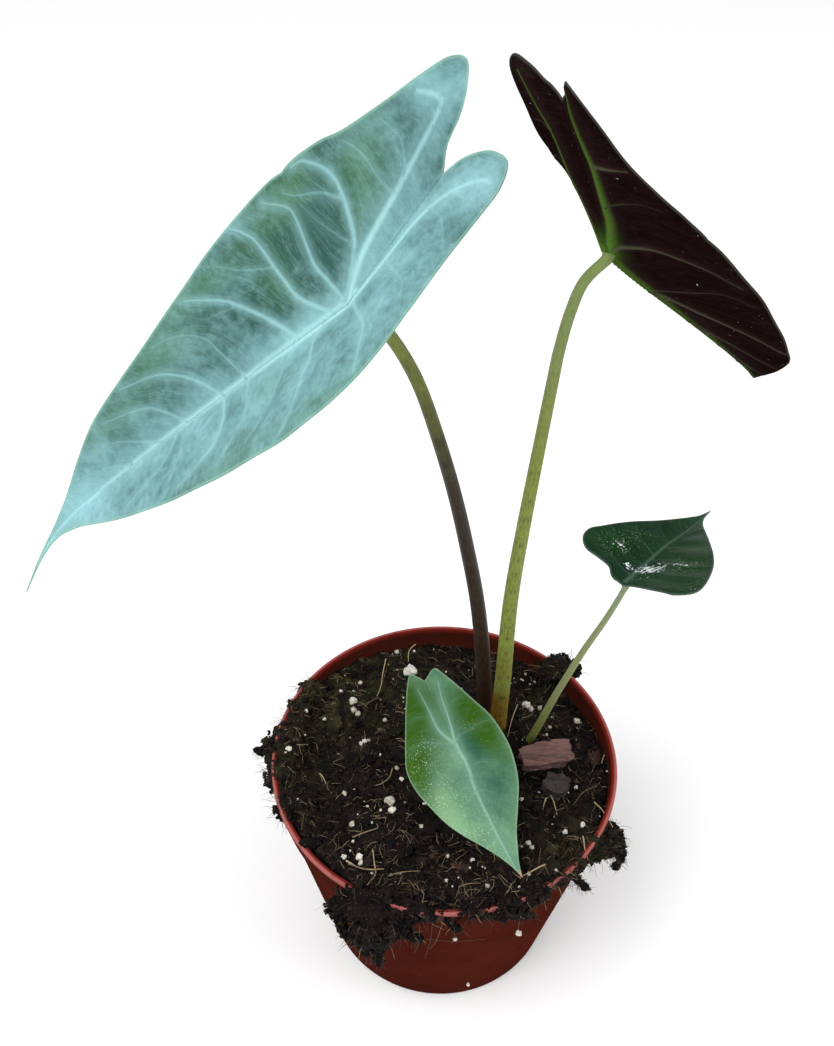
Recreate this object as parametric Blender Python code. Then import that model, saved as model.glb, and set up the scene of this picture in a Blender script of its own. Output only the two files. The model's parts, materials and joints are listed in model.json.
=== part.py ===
"""A potted Alocasia amazonica at real size: nursery pot, soil, buried corm, four leaves and two bark chips.

Lengths are metres and +Z is up. The origin is the centre of the pot's foot, +X points to the viewer's right
and +Y away from the viewer. Each leaf is a stalk and a blade. A blade is drawn flat, as points
(across, along) from the place where its stalk joins it, and then folded, bent and turned into place.
"""

import math
import random
from dataclasses import dataclass

import bmesh
import bpy
import numpy as np
from mathutils import Matrix, Vector, noise
from mathutils.geometry import delaunay_2d_cdt

MM = 0.001
GAP = 0.3 * MM

# Pot
POT_HEIGHT = 92 * MM
POT_RIM_RADIUS = 60 * MM
POT_FOOT_RADIUS = 43 * MM
POT_WALL = 1.2 * MM
POT_FLOOR = 1.8 * MM
COLLAR_HEIGHT = 12 * MM
COLLAR_STEP = 1.0 * MM
LIP_HEIGHT = 2.0 * MM
LIP_OVERHANG = 0.8 * MM
POT_CORNER = 1.2 * MM
POT_SOFTENING = 0.8 * MM
POT_SIDES = 72
DRAIN_HOLES = 8
DRAIN_HOLE_RADIUS = 3.5 * MM
DRAIN_CIRCLE_RADIUS = 31 * MM

# Soil
SOIL_LEVEL = 87.5 * MM
SOIL_TILT_X = -0.032
SOIL_TILT_Y = -0.062
SOIL_ROUGHNESS = 1.6 * MM
SOIL_RINGS = 11
SOIL_SIDES = 48
SOIL_FACET_ALLOWANCE = 0.12 * MM
SOIL_SHOULDER = 1.5 * MM
SOIL_GRAIN = 11 * MM
CRUMBS = 30
CRUMB_SIZE = (1.6 * MM, 3.6 * MM)
GRAIN_SIZE = (1.2 * MM, 1.9 * MM)
CRUMB_SPREAD = 52 * MM
PERLITE_GRAINS = 8
SOIL_SEED = 7

# Corm
CORM_CENTRE = (19 * MM, 18 * MM, 67 * MM)
CORM_RADIUS = 14 * MM
CORM_HEIGHT = 26 * MM
ROOTS = 6
ROOT_RADIUS = 1.3 * MM
ROOT_SIDES = 5
ROOT_REACH = 8 * MM
ROOT_DEPTH = 32 * MM
ROOT_STEP = 8 * MM

# Leaves
BLADE_THICKNESS = 0.8 * MM
KEEL_ROUNDING = 1.2 * MM
STALK_SIDES = 10
STALK_STEP = 7 * MM
STALK_TOP = 3 * MM
MAIN_RIB_HEIGHT = 1.1 * MM
FINE_RIB_HEIGHT = 0.45 * MM
MAIN_RIB_REACH = 1.6
FINE_RIB_REACH = 0.9
RIB_CLEARANCE = 0.35
GRID_CLEARANCE = 0.62
LOBE_REACH = 40
LIFT_REACH = 8
EDGE_WAVE = 0.5 * MM
EDGE_WAVE_LENGTH = 21 * MM
WAVE_FADE = 30
QUILTING = 0.6 * MM
QUILT_REACH = 3.5 * MM
LATERAL_STARTS = (0.0, 0.03, 0.15, 0.29, 0.41, 0.54, 0.67, 0.79)
LATERAL_ENDS = (-0.09, 0.16, 0.37, 0.49, 0.62, 0.73, 0.84, 0.92)
LOBE_RIB_STARTS = (0.28, 0.55, 0.80)
LOBE_RIB_DROP = 0.08

POT_RED = (0.155, 0.040, 0.030)
PEAT_BROWN = (0.022, 0.014, 0.010)
BLADE_SILVER = (0.090, 0.200, 0.195)
BLADE_DARK = (0.012, 0.007, 0.009)
BLADE_GREEN = (0.020, 0.055, 0.030)
STALK_GREEN = (0.165, 0.190, 0.070)
CORM_BROWN = (0.120, 0.065, 0.035)
BARK_BROWN = (0.120, 0.050, 0.028)
BARK_BLACK = (0.020, 0.013, 0.011)


@dataclass(frozen=True)
class BladeForm:
    """How one blade is cut, folded, bent and placed; outlines and the junction are in millimetres.

    The two edges run from the notch between the rear lobes, round the lobe, to the leaf's tip. Angles are
    radians, and bends are radians per millimetre.
    """

    junction: tuple
    face: tuple
    tip: tuple
    right_edge: tuple
    left_edge: tuple
    fold_right: float
    fold_left: float
    curl: float
    bend: float
    rear_bend: float
    twist: float = 0.0
    rear_twist: float = 0.0
    lobe_fold_right: float = 0.0
    lobe_fold_left: float = 0.0
    tip_fold_right: float = 0.0
    tip_fold_left: float = 0.0
    lobe_yaw: float = 0.0
    lobe_sweep: float = 0.0
    droop: float = 0.0
    droop_start: float = 0.5
    rear_lift: float = 0.0
    sway: float = 0.0
    sway_start: float = 0.0
    grid: float = 4.6
    edge_step: float = 3.8


BLADES = {
    "blade_left": BladeForm(
        junction=(-26.5, -22.1, 291.0),
        face=(-0.618, -0.393, 0.681),
        tip=(-0.752, 0.042, -0.658),
        right_edge=((0, -31), (3.6, -34.5), (5.7, -40), (8.5, -44), (12.2, -46.6), (15.6, -43.8),
                    (18.2, -37), (21.0, -28.4), (25.3, -17.9), (29.8, -10.5), (34.0, -0.8), (33.3, 9),
                    (29.2, 25.3), (25.5, 37.3), (21.9, 49.7), (18.4, 63.3), (14.7, 77.4), (9.3, 90.1),
                    (3.6, 103), (1.0, 114), (0, 130)),
        left_edge=((0, -31), (2.2, -36.4), (6.1, -41.4), (9.8, -44.2), (13.4, -45.2), (16.9, -42),
                   (18.8, -35.8), (21.5, -25.3), (25.1, -17.4), (29.6, -9.4), (32.4, 1), (31.4, 14),
                   (28.6, 27), (25.6, 39), (21.7, 53.5), (16.5, 71), (10.5, 88), (4.4, 103), (1.1, 114),
                   (0, 130)),
        fold_right=0.465,
        fold_left=0.465,
        curl=0.0027,
        bend=0.0006,
        rear_bend=0.0026,
        twist=0.0043,
        rear_twist=-0.0033,
        lobe_fold_right=0.222,
        lobe_fold_left=-0.278,
        lobe_yaw=-0.489,
        droop=0.2,
        droop_start=0.75,
        sway=-0.010,
        sway_start=98,
    ),
    "blade_right": BladeForm(
        junction=(32.4, -8.8, 297.6),
        face=(0.187, 0.953, 0.239),
        tip=(0.732, 0.027, -0.681),
        right_edge=((0, -39.7), (3.4, -42.4), (5.4, -43.5), (8.1, -46.9), (11.6, -49.5), (14.8, -46.5),
                    (17.3, -39.3), (19.9, -30.2), (24, -19), (28.3, -11.2), (31.3, -0.8), (31.3, 7.4),
                    (27.7, 20.7), (24.2, 30.6), (20.8, 40.7), (17.4, 51.9), (13.9, 63.4), (8.8, 73.8),
                    (4, 84.4), (1.5, 91.8), (0, 98.3)),
        left_edge=((0, -39.7), (3.7, -42.4), (5.9, -43.5), (8.8, -46.9), (12.6, -49.5), (16.1, -46.5),
                   (18.8, -39.3), (21.7, -30.2), (26.1, -19), (30.7, -11.2), (34, -0.8), (34, 7.4),
                   (30.1, 20.7), (26.3, 30.6), (22.6, 40.7), (19, 51.9), (15.2, 63.4), (9.6, 73.8),
                   (4.3, 84.4), (1.6, 91.8), (0, 98.3)),
        fold_right=-0.431,
        fold_left=1.229,
        curl=0.0029,
        bend=-0.0081,
        rear_bend=0.0003,
        rear_lift=-0.143,
        twist=-0.0049,
        rear_twist=0.0294,
        lobe_fold_right=0.669,
        lobe_fold_left=-1.543,
        tip_fold_right=0.466,
        tip_fold_left=-0.009,
        lobe_yaw=-0.551,
        lobe_sweep=0.021,
        droop=-0.030,
        sway=-0.0037,
        sway_start=15,
    ),
    "blade_small_right": BladeForm(
        junction=(50.7, -4.0, 184.7),
        face=(-0.009, 0.300, 0.954),
        tip=(0.568, 0.787, -0.242),
        right_edge=((0, -2.5), (5.7, -4.2), (12.8, -6.4), (18.9, -7.2), (23.3, -5.2), (24.6, 1), (22, 11.5),
                    (18.4, 21), (11.7, 34.5), (4.6, 47.2), (1.2, 57), (0, 66)),
        left_edge=((0, -2.5), (4.2, -0.8), (7.4, 2.6), (11.5, 3.6), (16.4, 4.6), (20.2, 9.2), (20.8, 15),
                   (19.4, 20), (16.5, 25), (12.2, 33.3), (7.5, 42.7), (3.4, 51.6), (1.2, 58), (0, 66)),
        fold_right=0.29,
        fold_left=0.29,
        curl=0.0034,
        bend=0.0015,
        rear_bend=-0.0001,
        twist=-0.0010,
        grid=4.0,
        edge_step=3.2,
    ),
    "blade_front": BladeForm(
        junction=(3.0, -11.5, 114.1),
        face=(-0.401, -0.543, 0.738),
        tip=(0.428, -0.823, -0.373),
        right_edge=((0, -23.5), (1.8, -26), (3.8, -27.8), (6.2, -25), (9.1, -19.8), (12.6, -13), (16.6, -4.6),
                    (18.6, 1), (18.4, 7.6), (16.5, 14.3), (13.9, 21.3), (10.8, 26.9), (6.4, 33.3),
                    (3.3, 38.5), (1.2, 43), (0, 47)),
        left_edge=((0, -23.5), (2.6, -24.6), (5.6, -25.4), (8.2, -21), (10.6, -16.5), (13.8, -9.4),
                   (16.9, -1.9), (18.2, 6.4), (17.6, 12.6), (15, 20.1), (10.8, 26.7), (6.2, 33.1),
                   (3.2, 38.7), (1.2, 43), (0, 47)),
        fold_right=0.271,
        fold_left=0.275,
        curl=0.0038,
        bend=0.0032,
        rear_bend=-0.0010,
        twist=0.0013,
        grid=4.0,
        edge_step=3.0,
    ),
}

# Stalks: the points of each centre line in millimetres from the corm up, and the radius at its foot and top.
# The last stretch, up to the blade, is worked out from the blade's junction.
STALKS = {
    "petiole_left": ("blade_left", 3.1, 1.5, (
        (16.2, 22, 74), (15.3, 24.3, 86), (12.8, 21.5, 120), (9.4, 16.5, 153), (4.8, 11, 183.2),
        (-0.1, 5.3, 210.8), (-5.5, -0.6, 236.1), (-11.2, -7.2, 259.3), (-17.4, -14.2, 277.2))),
    "petiole_right": ("blade_right", 3.3, 1.5, (
        (20.4, 16.8, 74), (19.6, 17.4, 88), (19.3, 16.2, 114.1), (18.8, 11.3, 159.1), (20.3, 5.5, 201.2),
        (21.9, -0.3, 237.8), (23.2, -5.5, 265.7), (25.2, -9.6, 283.5))),
    "petiole_small_right": ("blade_small_right", 2.4, 1.2, (
        (26, 13.2, 74), (30, 11.6, 83), (33.4, 9.7, 98), (37.2, 7.3, 118), (42.4, 3.2, 144),
        (47.1, -1.4, 166), (49.9, -4.3, 178))),
    "petiole_front": ("blade_front", 2.2, 1.2, (
        (13.2, 17, 74), (11.6, 15.4, 85), (10.4, 9, 95), (8.6, 0, 102.5))),
}

# Peat clumps: centre and half sizes in millimetres.
CLUMPS = (
    ((-55.5, 4, 89), (8.5, 11, 6)),
    ((-56, -7, 88), (6.5, 7, 5)),
    ((-50, -19, 90), (8, 9, 4.5)),
    ((-24, -54, 88), (16, 8, 6.5)),
    ((-25, -59.6, 77.5), (8.5, 4.6, 12)),
    ((-17, -58.5, 84), (7, 4, 8)),
    ((-6, -56, 90), (9, 5.5, 4.5)),
    ((17, -54, 89.5), (9, 6.5, 5)),
    ((49, -34, 87), (9, 7.5, 5.5)),
    ((53, -28, 87), (5.5, 7, 5)),
    ((43, 41, 89), (8, 7, 5.5)),
    ((-20, -30, 90), (16, 13, 4)),
    ((-34, 22, 87), (12, 10, 4)),
)

# Bark chips: centre and size in millimetres, turn about Z and tilt in degrees, and colour.
BARK_CHIPS = {
    "bark_chip": ((36.5, 2.6, 88.6), (16, 8.5, 5), 14, 6, BARK_BROWN),
    "bark_chip_dark": ((38.5, -9.5, 88.2), (8, 9, 4), -24, -8, BARK_BLACK),
}


def clear_scene():
    """Remove every object that the file already holds."""
    for item in list(bpy.data.objects):
        bpy.data.objects.remove(item, do_unlink=True)


def material(name, colour, roughness):
    """Return a plain Principled material."""
    result = bpy.data.materials.new(name)
    result.use_nodes = True
    shader = result.node_tree.nodes["Principled BSDF"]
    shader.inputs["Base Color"].default_value = (*colour, 1.0)
    shader.inputs["Roughness"].default_value = roughness
    shader.inputs["Metallic"].default_value = 0.0
    return result


def mesh_object(name, form, finish=None, smooth_angle=40):
    """Turn a bmesh into a linked, smooth-shaded object."""
    bmesh.ops.recalc_face_normals(form, faces=form.faces)
    mesh = bpy.data.meshes.new(name)
    form.to_mesh(mesh)
    form.free()
    mesh.shade_smooth()
    mesh.set_sharp_from_angle(angle=math.radians(smooth_angle))
    if finish:
        mesh.materials.append(finish)
    result = bpy.data.objects.new(name, mesh)
    bpy.context.scene.collection.objects.link(result)
    return result


def cutter_object(name, form):
    """Turn a bmesh into an object that only cuts or joins others."""
    result = mesh_object(name, form)
    result.hide_render = True
    result.display_type = "WIRE"
    return result


def apply_boolean(target, operation, tools):
    """Join tools to the target or cut them out of it, and remove them."""
    group = bpy.data.collections.new("tools")
    bpy.context.scene.collection.children.link(group)
    for tool in tools:
        group.objects.link(tool)
    modifier = target.modifiers.new("boolean", "BOOLEAN")
    modifier.operation = operation
    modifier.solver = "EXACT"
    modifier.operand_type = "COLLECTION"
    modifier.collection = group
    bpy.context.view_layer.objects.active = target
    bpy.ops.object.modifier_apply(modifier=modifier.name)
    for tool in tools:
        bpy.data.objects.remove(tool, do_unlink=True)
    bpy.data.collections.remove(group)


def drop_scraps(target):
    """Keep only the largest connected piece of an object."""
    form = bmesh.new()
    form.from_mesh(target.data)
    waiting = set(form.verts)
    pieces = []
    while waiting:
        front = [waiting.pop()]
        piece = set(front)
        while front:
            near = {edge.other_vert(vert) for vert in front for edge in vert.link_edges} & waiting
            waiting -= near
            piece |= near
            front = list(near)
        pieces.append(piece)
    pieces.sort(key=len)
    scraps = [vert for piece in pieces[:-1] for vert in piece]
    bmesh.ops.delete(form, geom=scraps, context="VERTS")
    form.to_mesh(target.data)
    form.free()


def turned(profile, sides):
    """Spin a profile of (radius, height) points about Z; it is closed at the axis or back to its start."""
    form = bmesh.new()
    rings = []
    for radius, height in profile:
        if radius == 0:
            rings.append([form.verts.new((0, 0, height))])
            continue
        angles = (2 * math.pi * side / sides for side in range(sides))
        rings.append([form.verts.new((radius * math.cos(a), radius * math.sin(a), height)) for a in angles])
    pairs = list(zip(rings, rings[1:]))
    if len(rings[0]) > 1:
        pairs.append((rings[-1], rings[0]))
    for lower, upper in pairs:
        for side in range(sides):
            after = (side + 1) % sides
            if len(lower) == 1:
                form.faces.new((lower[0], upper[after], upper[side]))
            elif len(upper) == 1:
                form.faces.new((lower[side], lower[after], upper[0]))
            else:
                form.faces.new((lower[side], lower[after], upper[after], upper[side]))
    return form


def smooth_path(points, step):
    """Return a Catmull-Rom curve through the points, with a point about every step."""
    ends = [2 * points[0] - points[1], *points, 2 * points[-1] - points[-2]]
    curve = []
    for before, start, end, after in zip(ends, ends[1:], ends[2:], ends[3:]):
        count = max(1, round((end - start).length / step))
        for index in range(count):
            t = index / count
            square = 2 * before - 5 * start + 4 * end - after
            cube = 3 * start - before - 3 * end + after
            curve.append(0.5 * (2 * start + (end - before) * t + square * t**2 + cube * t**3))
    curve.append(points[-1])
    return curve


def tube(path, radii, sides):
    """Sweep a round section of changing radius along a path, with flat ends."""
    form = bmesh.new()
    frame = Vector((0, -1, 0))
    rings = []
    for index, (centre, radius) in enumerate(zip(path, radii)):
        ahead = path[min(index + 1, len(path) - 1)] - path[max(index - 1, 0)]
        frame = (frame - frame.project(ahead)).normalized()
        side = ahead.normalized().cross(frame)
        turns = (2 * math.pi * turn / sides for turn in range(sides))
        rings.append([form.verts.new(centre + radius * (math.cos(a) * frame + math.sin(a) * side))
                      for a in turns])
    for lower, upper in zip(rings, rings[1:]):
        for turn in range(sides):
            after = (turn + 1) % sides
            form.faces.new((lower[turn], lower[after], upper[after], upper[turn]))
    form.faces.new(rings[0])
    form.faces.new(rings[-1])
    return form


def ball(centre, half_size, roughness, subdivisions=1, seed=0.0):
    """Return a rough ellipsoid."""
    form = bmesh.new()
    bmesh.ops.create_icosphere(form, subdivisions=subdivisions, radius=1.0)
    for vert in form.verts:
        swell = 1 + roughness * noise.noise(vert.co * 1.7 + Vector((seed, 2 * seed, -seed)))
        vert.co = Vector(centre) + Vector(half_size) * vert.co * swell
    return form


def pot_profile():
    """Return the pot's closed profile, from the middle of its underside out, over the lip and back in."""
    step_height = POT_HEIGHT - COLLAR_HEIGHT
    collar_radius = POT_RIM_RADIUS - LIP_OVERHANG
    wall_top_radius = collar_radius - COLLAR_STEP - POT_CORNER
    lip_bottom = POT_HEIGHT - LIP_HEIGHT
    lip_inner = collar_radius - POT_WALL
    return [
        (0, 0),
        (POT_FOOT_RADIUS - POT_CORNER, 0),
        (POT_FOOT_RADIUS, POT_CORNER),
        (wall_top_radius, step_height - 0.6 * MM),
        (wall_top_radius + COLLAR_STEP, step_height),
        (collar_radius - 0.2 * MM, lip_bottom - 0.5 * MM),
        (POT_RIM_RADIUS - 0.2 * MM, lip_bottom),
        (POT_RIM_RADIUS, POT_HEIGHT - POT_SOFTENING),
        (POT_RIM_RADIUS - POT_SOFTENING, POT_HEIGHT),
        (lip_inner + 0.5 * MM, POT_HEIGHT),
        (lip_inner, POT_HEIGHT - 0.6 * MM),
        (wall_top_radius + COLLAR_STEP - POT_WALL, step_height + 1.0 * MM),
        (wall_top_radius - POT_WALL, step_height - 1.0 * MM),
        (POT_FOOT_RADIUS - POT_WALL, POT_FLOOR + POT_SOFTENING),
        (POT_FOOT_RADIUS - POT_WALL - POT_SOFTENING, POT_FLOOR),
        (0, POT_FLOOR),
    ]


def pot_inner_radius(height):
    """Return the radius of the pot's inner wall at a height over its floor."""
    inner = [(z, radius) for radius, z in pot_profile()[-7:-1]][::-1]
    return float(np.interp(height, [z for z, _ in inner], [radius for _, radius in inner]))


def build_pot():
    """Build the pot with its ring of drain holes."""
    pot = mesh_object("pot", turned(pot_profile(), POT_SIDES), material("pot", POT_RED, 0.45))
    drills = []
    for index in range(DRAIN_HOLES):
        angle = 2 * math.pi * (index + 0.5) / DRAIN_HOLES
        place = Vector((math.cos(angle), math.sin(angle), 0)) * DRAIN_CIRCLE_RADIUS
        form = bmesh.new()
        bmesh.ops.create_cone(form, cap_ends=True, segments=16, radius1=DRAIN_HOLE_RADIUS,
                              radius2=DRAIN_HOLE_RADIUS, depth=4 * POT_FLOOR,
                              matrix=Matrix.Translation(place))
        drills.append(cutter_object("drill", form))
    apply_boolean(pot, "DIFFERENCE", drills)
    return pot


def soil_height(x, y):
    """Return the level of the soil: heaped toward the viewer and the left, sunk at the far right."""
    rough = noise.fractal(Vector((x, y, 0.013)) / SOIL_GRAIN, 1.0, 2.0, 3)
    return SOIL_LEVEL + SOIL_TILT_X * x + SOIL_TILT_Y * y + SOIL_ROUGHNESS * rough


def soil_body():
    """Return the soil that fills the pot, with its uneven surface."""
    form = bmesh.new()
    angles = [2 * math.pi * side / SOIL_SIDES for side in range(SOIL_SIDES)]
    collar_bottom = POT_HEIGHT - COLLAR_HEIGHT
    levels = [POT_FLOOR + GAP, POT_FLOOR + SOIL_SHOULDER, collar_bottom - SOIL_SHOULDER,
              collar_bottom + SOIL_SHOULDER]
    rings = []
    for height in levels:
        wall_radius = pot_inner_radius(height) - GAP - SOIL_FACET_ALLOWANCE
        rings.append([form.verts.new((wall_radius * math.cos(a), wall_radius * math.sin(a), height))
                      for a in angles])
    for index in range(SOIL_RINGS, 0, -1):
        radius = wall_radius * index / SOIL_RINGS
        row = []
        for a in angles:
            x, y = radius * math.cos(a), radius * math.sin(a)
            row.append(form.verts.new((x, y, soil_height(x, y))))
        rings.append(row)
    for lower, upper in zip(rings, rings[1:]):
        for side in range(SOIL_SIDES):
            after = (side + 1) % SOIL_SIDES
            form.faces.new((lower[side], lower[after], upper[after], upper[side]))
    form.faces.new(rings[0])
    middle = form.verts.new((0, 0, soil_height(0, 0)))
    for side in range(SOIL_SIDES):
        form.faces.new((rings[-1][side], rings[-1][(side + 1) % SOIL_SIDES], middle))
    return form


def soil_lumps():
    """Return the peat clumps, the crumbs and the perlite grains that lie on the soil and over the rim."""
    lumps = []
    for index, (centre, half_size) in enumerate(CLUMPS):
        form = ball([c * MM for c in centre], [h * MM for h in half_size], 0.35, subdivisions=2,
                    seed=index * 3.7)
        lumps.append(cutter_object("clump", form))
    draw = random.Random(SOIL_SEED)
    for index in range(CRUMBS + PERLITE_GRAINS):
        distance = CRUMB_SPREAD * math.sqrt(draw.random())
        angle = 2 * math.pi * draw.random()
        x, y = distance * math.cos(angle), distance * math.sin(angle)
        size = draw.uniform(*(CRUMB_SIZE if index < CRUMBS else GRAIN_SIZE))
        half_size = (size * draw.uniform(0.8, 1.5), size, size * draw.uniform(0.6, 0.9))
        centre = (x, y, soil_height(x, y) + 0.35 * size)
        lumps.append(cutter_object("crumb", ball(centre, half_size, 0.5, seed=index * 1.3)))
    return lumps


def rim_clearance():
    """Return a ring that holds the pot's wall and the gap round it."""
    inner = [(radius - GAP, height) for radius, height in pot_profile()[9:14]]
    outer = [(radius + GAP, height) for radius, height in pot_profile()[2:9]]
    top = POT_HEIGHT + GAP
    inner[0] = (inner[0][0], top)
    outer[-1] = (outer[-1][0], top)
    return cutter_object("rim_clearance", turned(outer + inner, POT_SIDES))


def stalk_path(name, extra=0.0):
    """Return the points along a stalk's centre line, ending just under its blade, and the radii there."""
    blade_name, foot_radius, top_radius, points = STALKS[name]
    form = BLADES[blade_name]
    junction = Vector(form.junction) * MM
    under = Sheet(form).normal(0, 0)
    seat = BLADE_THICKNESS + MAIN_RIB_HEIGHT + GAP
    route = [Vector(point) * MM for point in points]
    route.append(junction - (seat + STALK_TOP) * under)
    route.append(junction - seat * under)
    path = smooth_path(route, STALK_STEP)
    length = sum((b - a).length for a, b in zip(path, path[1:]))
    travelled = 0.0
    radii = []
    for index, point in enumerate(path):
        if index:
            travelled += (point - path[index - 1]).length
        share = travelled / length
        radii.append((foot_radius + (top_radius - foot_radius) * share**0.8) * MM + extra)
    return path, radii


def build_stalk(name, finish):
    """Build one leaf stalk, standing on the corm."""
    path, radii = stalk_path(name)
    stalk = mesh_object(name, tube(path, radii, STALK_SIDES), finish)
    apply_boolean(stalk, "DIFFERENCE", [corm_object("corm_clearance", GAP)])
    return stalk


def corm_object(name, extra=0.0, finish=None):
    """Return the corm with its roots, grown by extra where it is cut out of its neighbours."""
    half_size = (CORM_RADIUS + extra, CORM_RADIUS + extra, CORM_HEIGHT / 2 + extra)
    corm = mesh_object(name, ball(CORM_CENTRE, half_size, 0.08, subdivisions=2), finish)
    roots = []
    for index in range(ROOTS):
        angle = 2 * math.pi * (index + 0.3) / ROOTS
        reach = ROOT_REACH * (1 + 0.25 * math.sin(2.1 * index))
        outward = Vector((math.cos(angle), math.sin(angle), 0))
        start = Vector(CORM_CENTRE) + 0.45 * CORM_RADIUS * outward - Vector((0, 0, 3 * MM))
        knee = start + reach * outward - Vector((0, 0, 0.4 * ROOT_DEPTH))
        end = knee - Vector((0, 0, 0.6 * ROOT_DEPTH + extra))
        path = smooth_path([start, knee, end], ROOT_STEP)
        radii = [ROOT_RADIUS * (1 - 0.5 * i / len(path)) + extra for i in range(len(path))]
        roots.append(cutter_object("root", tube(path, radii, ROOT_SIDES)))
    apply_boolean(corm, "UNION", roots)
    return corm


def bark_form(name, extra=0.0):
    """Return one bark chip, grown by extra where it is cut out of the soil."""
    centre, size, turn, tilt, _ = BARK_CHIPS[name]
    form = bmesh.new()
    bmesh.ops.create_cube(form, size=1.0)
    bmesh.ops.subdivide_edges(form, edges=form.edges, cuts=2, use_grid_fill=True)
    place = (Matrix.Translation(Vector(centre) * MM) @ Matrix.Rotation(math.radians(turn), 4, "Z")
             @ Matrix.Rotation(math.radians(tilt), 4, "X"))
    for vert in form.verts:
        narrow = 1 - 0.28 * (abs(2 * vert.co.x) ** 3)
        rough = 1 + 0.22 * noise.noise(vert.co * 2.3 + Vector((turn, 0, 0)))
        grown = Vector((size[0] * MM + 2 * extra, size[1] * MM + 2 * extra, size[2] * MM + 2 * extra))
        vert.co = place @ (Vector((vert.co.x, vert.co.y * narrow, vert.co.z)) * grown * rough)
    return form


def build_soil(finish):
    """Build the soil with its clumps, cut clear of the pot, the stalks, the corm and the bark."""
    soil = mesh_object("soil", soil_body(), finish, smooth_angle=70)
    apply_boolean(soil, "UNION", soil_lumps())
    holes = [rim_clearance(), corm_object("corm_clearance", GAP)]
    for name in STALKS:
        path, radii = stalk_path(name, extra=GAP)
        holes.append(cutter_object("stalk_hole", tube(path, radii, STALK_SIDES)))
    for name in BARK_CHIPS:
        holes.append(cutter_object("bark_seat", bark_form(name, GAP)))
    apply_boolean(soil, "DIFFERENCE", holes)
    drop_scraps(soil)
    return soil


class Sheet:
    """The curved sheet that a flat blade is laid on."""

    def __init__(self, form):
        self.form = form
        self.length = form.right_edge[-1][1]
        self.rear = min(v for _, v in form.right_edge + form.left_edge)
        self.along = np.linspace(self.rear - 2, self.length + 2, 240)
        forward = np.maximum(self.along, 0)
        past = np.maximum(self.along / self.length - form.droop_start, 0) / (1 - form.droop_start)
        rearward = np.minimum(self.along, 0)
        lift = form.rear_lift * (1 - np.exp(rearward / LIFT_REACH))
        self.slope = np.where(self.along > 0, form.bend * forward + form.droop * past**2,
                              form.rear_bend * rearward + lift)
        step = self.along[1] - self.along[0]
        run = np.cumsum(np.cos(self.slope)) * step
        fall = -np.cumsum(np.sin(self.slope)) * step
        self.run = run - np.interp(0, self.along, run)
        self.rise = fall - np.interp(0, self.along, fall)
        tip_axis = Vector(form.tip).normalized()
        face_axis = Vector(form.face)
        face_axis = (face_axis - face_axis.project(tip_axis)).normalized()
        side_axis = tip_axis.cross(face_axis)
        self.turn = Matrix((side_axis, tip_axis, face_axis)).transposed()
        self.sides = {+1: flat_curve(form.right_edge, form.edge_step),
                      -1: flat_curve(form.left_edge, form.edge_step)}

    def width(self, side, v):
        """Return how far the outer edge lies from the midrib at a place along it."""
        edge = np.array(self.sides[side])
        lobe_tip = int(np.argmin(edge[:, 1]))
        return float(np.interp(v, edge[lobe_tip:, 1], edge[lobe_tip:, 0]))

    def point(self, u, v, lift=0.0):
        """Return the place of a flat point (across, along), in metres; lift is millimetres over the sheet."""
        form = self.form
        right = u > 0
        lobe = min(max(-v / LOBE_REACH, 0), 1.5)
        tip_share = min(max(v / self.length, 0), 1)
        fold = form.fold_right if right else form.fold_left
        fold += lobe * (form.lobe_fold_right if right else form.lobe_fold_left)
        fold += tip_share * (form.tip_fold_right if right else form.tip_fold_left)
        distance = abs(u)
        rounded = math.hypot(u, KEEL_ROUNDING / MM) - KEEL_ROUNDING / MM
        x = math.copysign((math.sin(fold) - math.sin(fold - form.curl * distance)) / form.curl, u)
        height = (math.cos(fold - form.curl * rounded) - math.cos(fold)) / form.curl + lift
        twist = form.twist * max(v, 0) + form.rear_twist * min(v, 0)
        x, height = (x * math.cos(twist) - height * math.sin(twist),
                     x * math.sin(twist) + height * math.cos(twist))
        x += form.lobe_yaw * min(v, 0) - form.lobe_sweep * min(v, 0) ** 2 / 50
        x += form.sway * max(v - form.sway_start, 0) ** 2
        slope = float(np.interp(v, self.along, self.slope))
        y = float(np.interp(v, self.along, self.run)) + height * math.sin(slope)
        z = float(np.interp(v, self.along, self.rise)) + height * math.cos(slope)
        return (Vector(form.junction) + self.turn @ Vector((x, y, z))) * MM

    def normal(self, u, v):
        """Return the upper face's normal at a flat point."""
        across = self.point(u + 0.6, v) - self.point(u - 0.6, v)
        along = self.point(u, v + 0.6) - self.point(u, v - 0.6)
        return across.cross(along).normalized()


def flat_curve(points, step):
    """Return a smooth flat curve through the points, with a point about every step."""
    curve = smooth_path([Vector((u, v, 0)) for u, v in points], step)
    return [(max(point.x, 0.0), point.y) for point in curve]


def bow(start, middle, end, step):
    """Return points about every step along the quadratic curve of three flat control points."""
    count = max(2, round((Vector(end) - Vector(start)).length / step))
    shares = [index / count for index in range(count + 1)]
    return [tuple((1 - t) ** 2 * a + 2 * t * (1 - t) * b + t**2 * c for a, b, c in zip(start, middle, end))
            for t in shares]


def rib_height(v, is_main, length):
    """Return how far a rib stands out below the blade; it thins toward the leaf's tip."""
    size = MAIN_RIB_HEIGHT if is_main else FINE_RIB_HEIGHT
    return size * (1 - 0.75 * min(abs(v) / length, 1))


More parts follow.
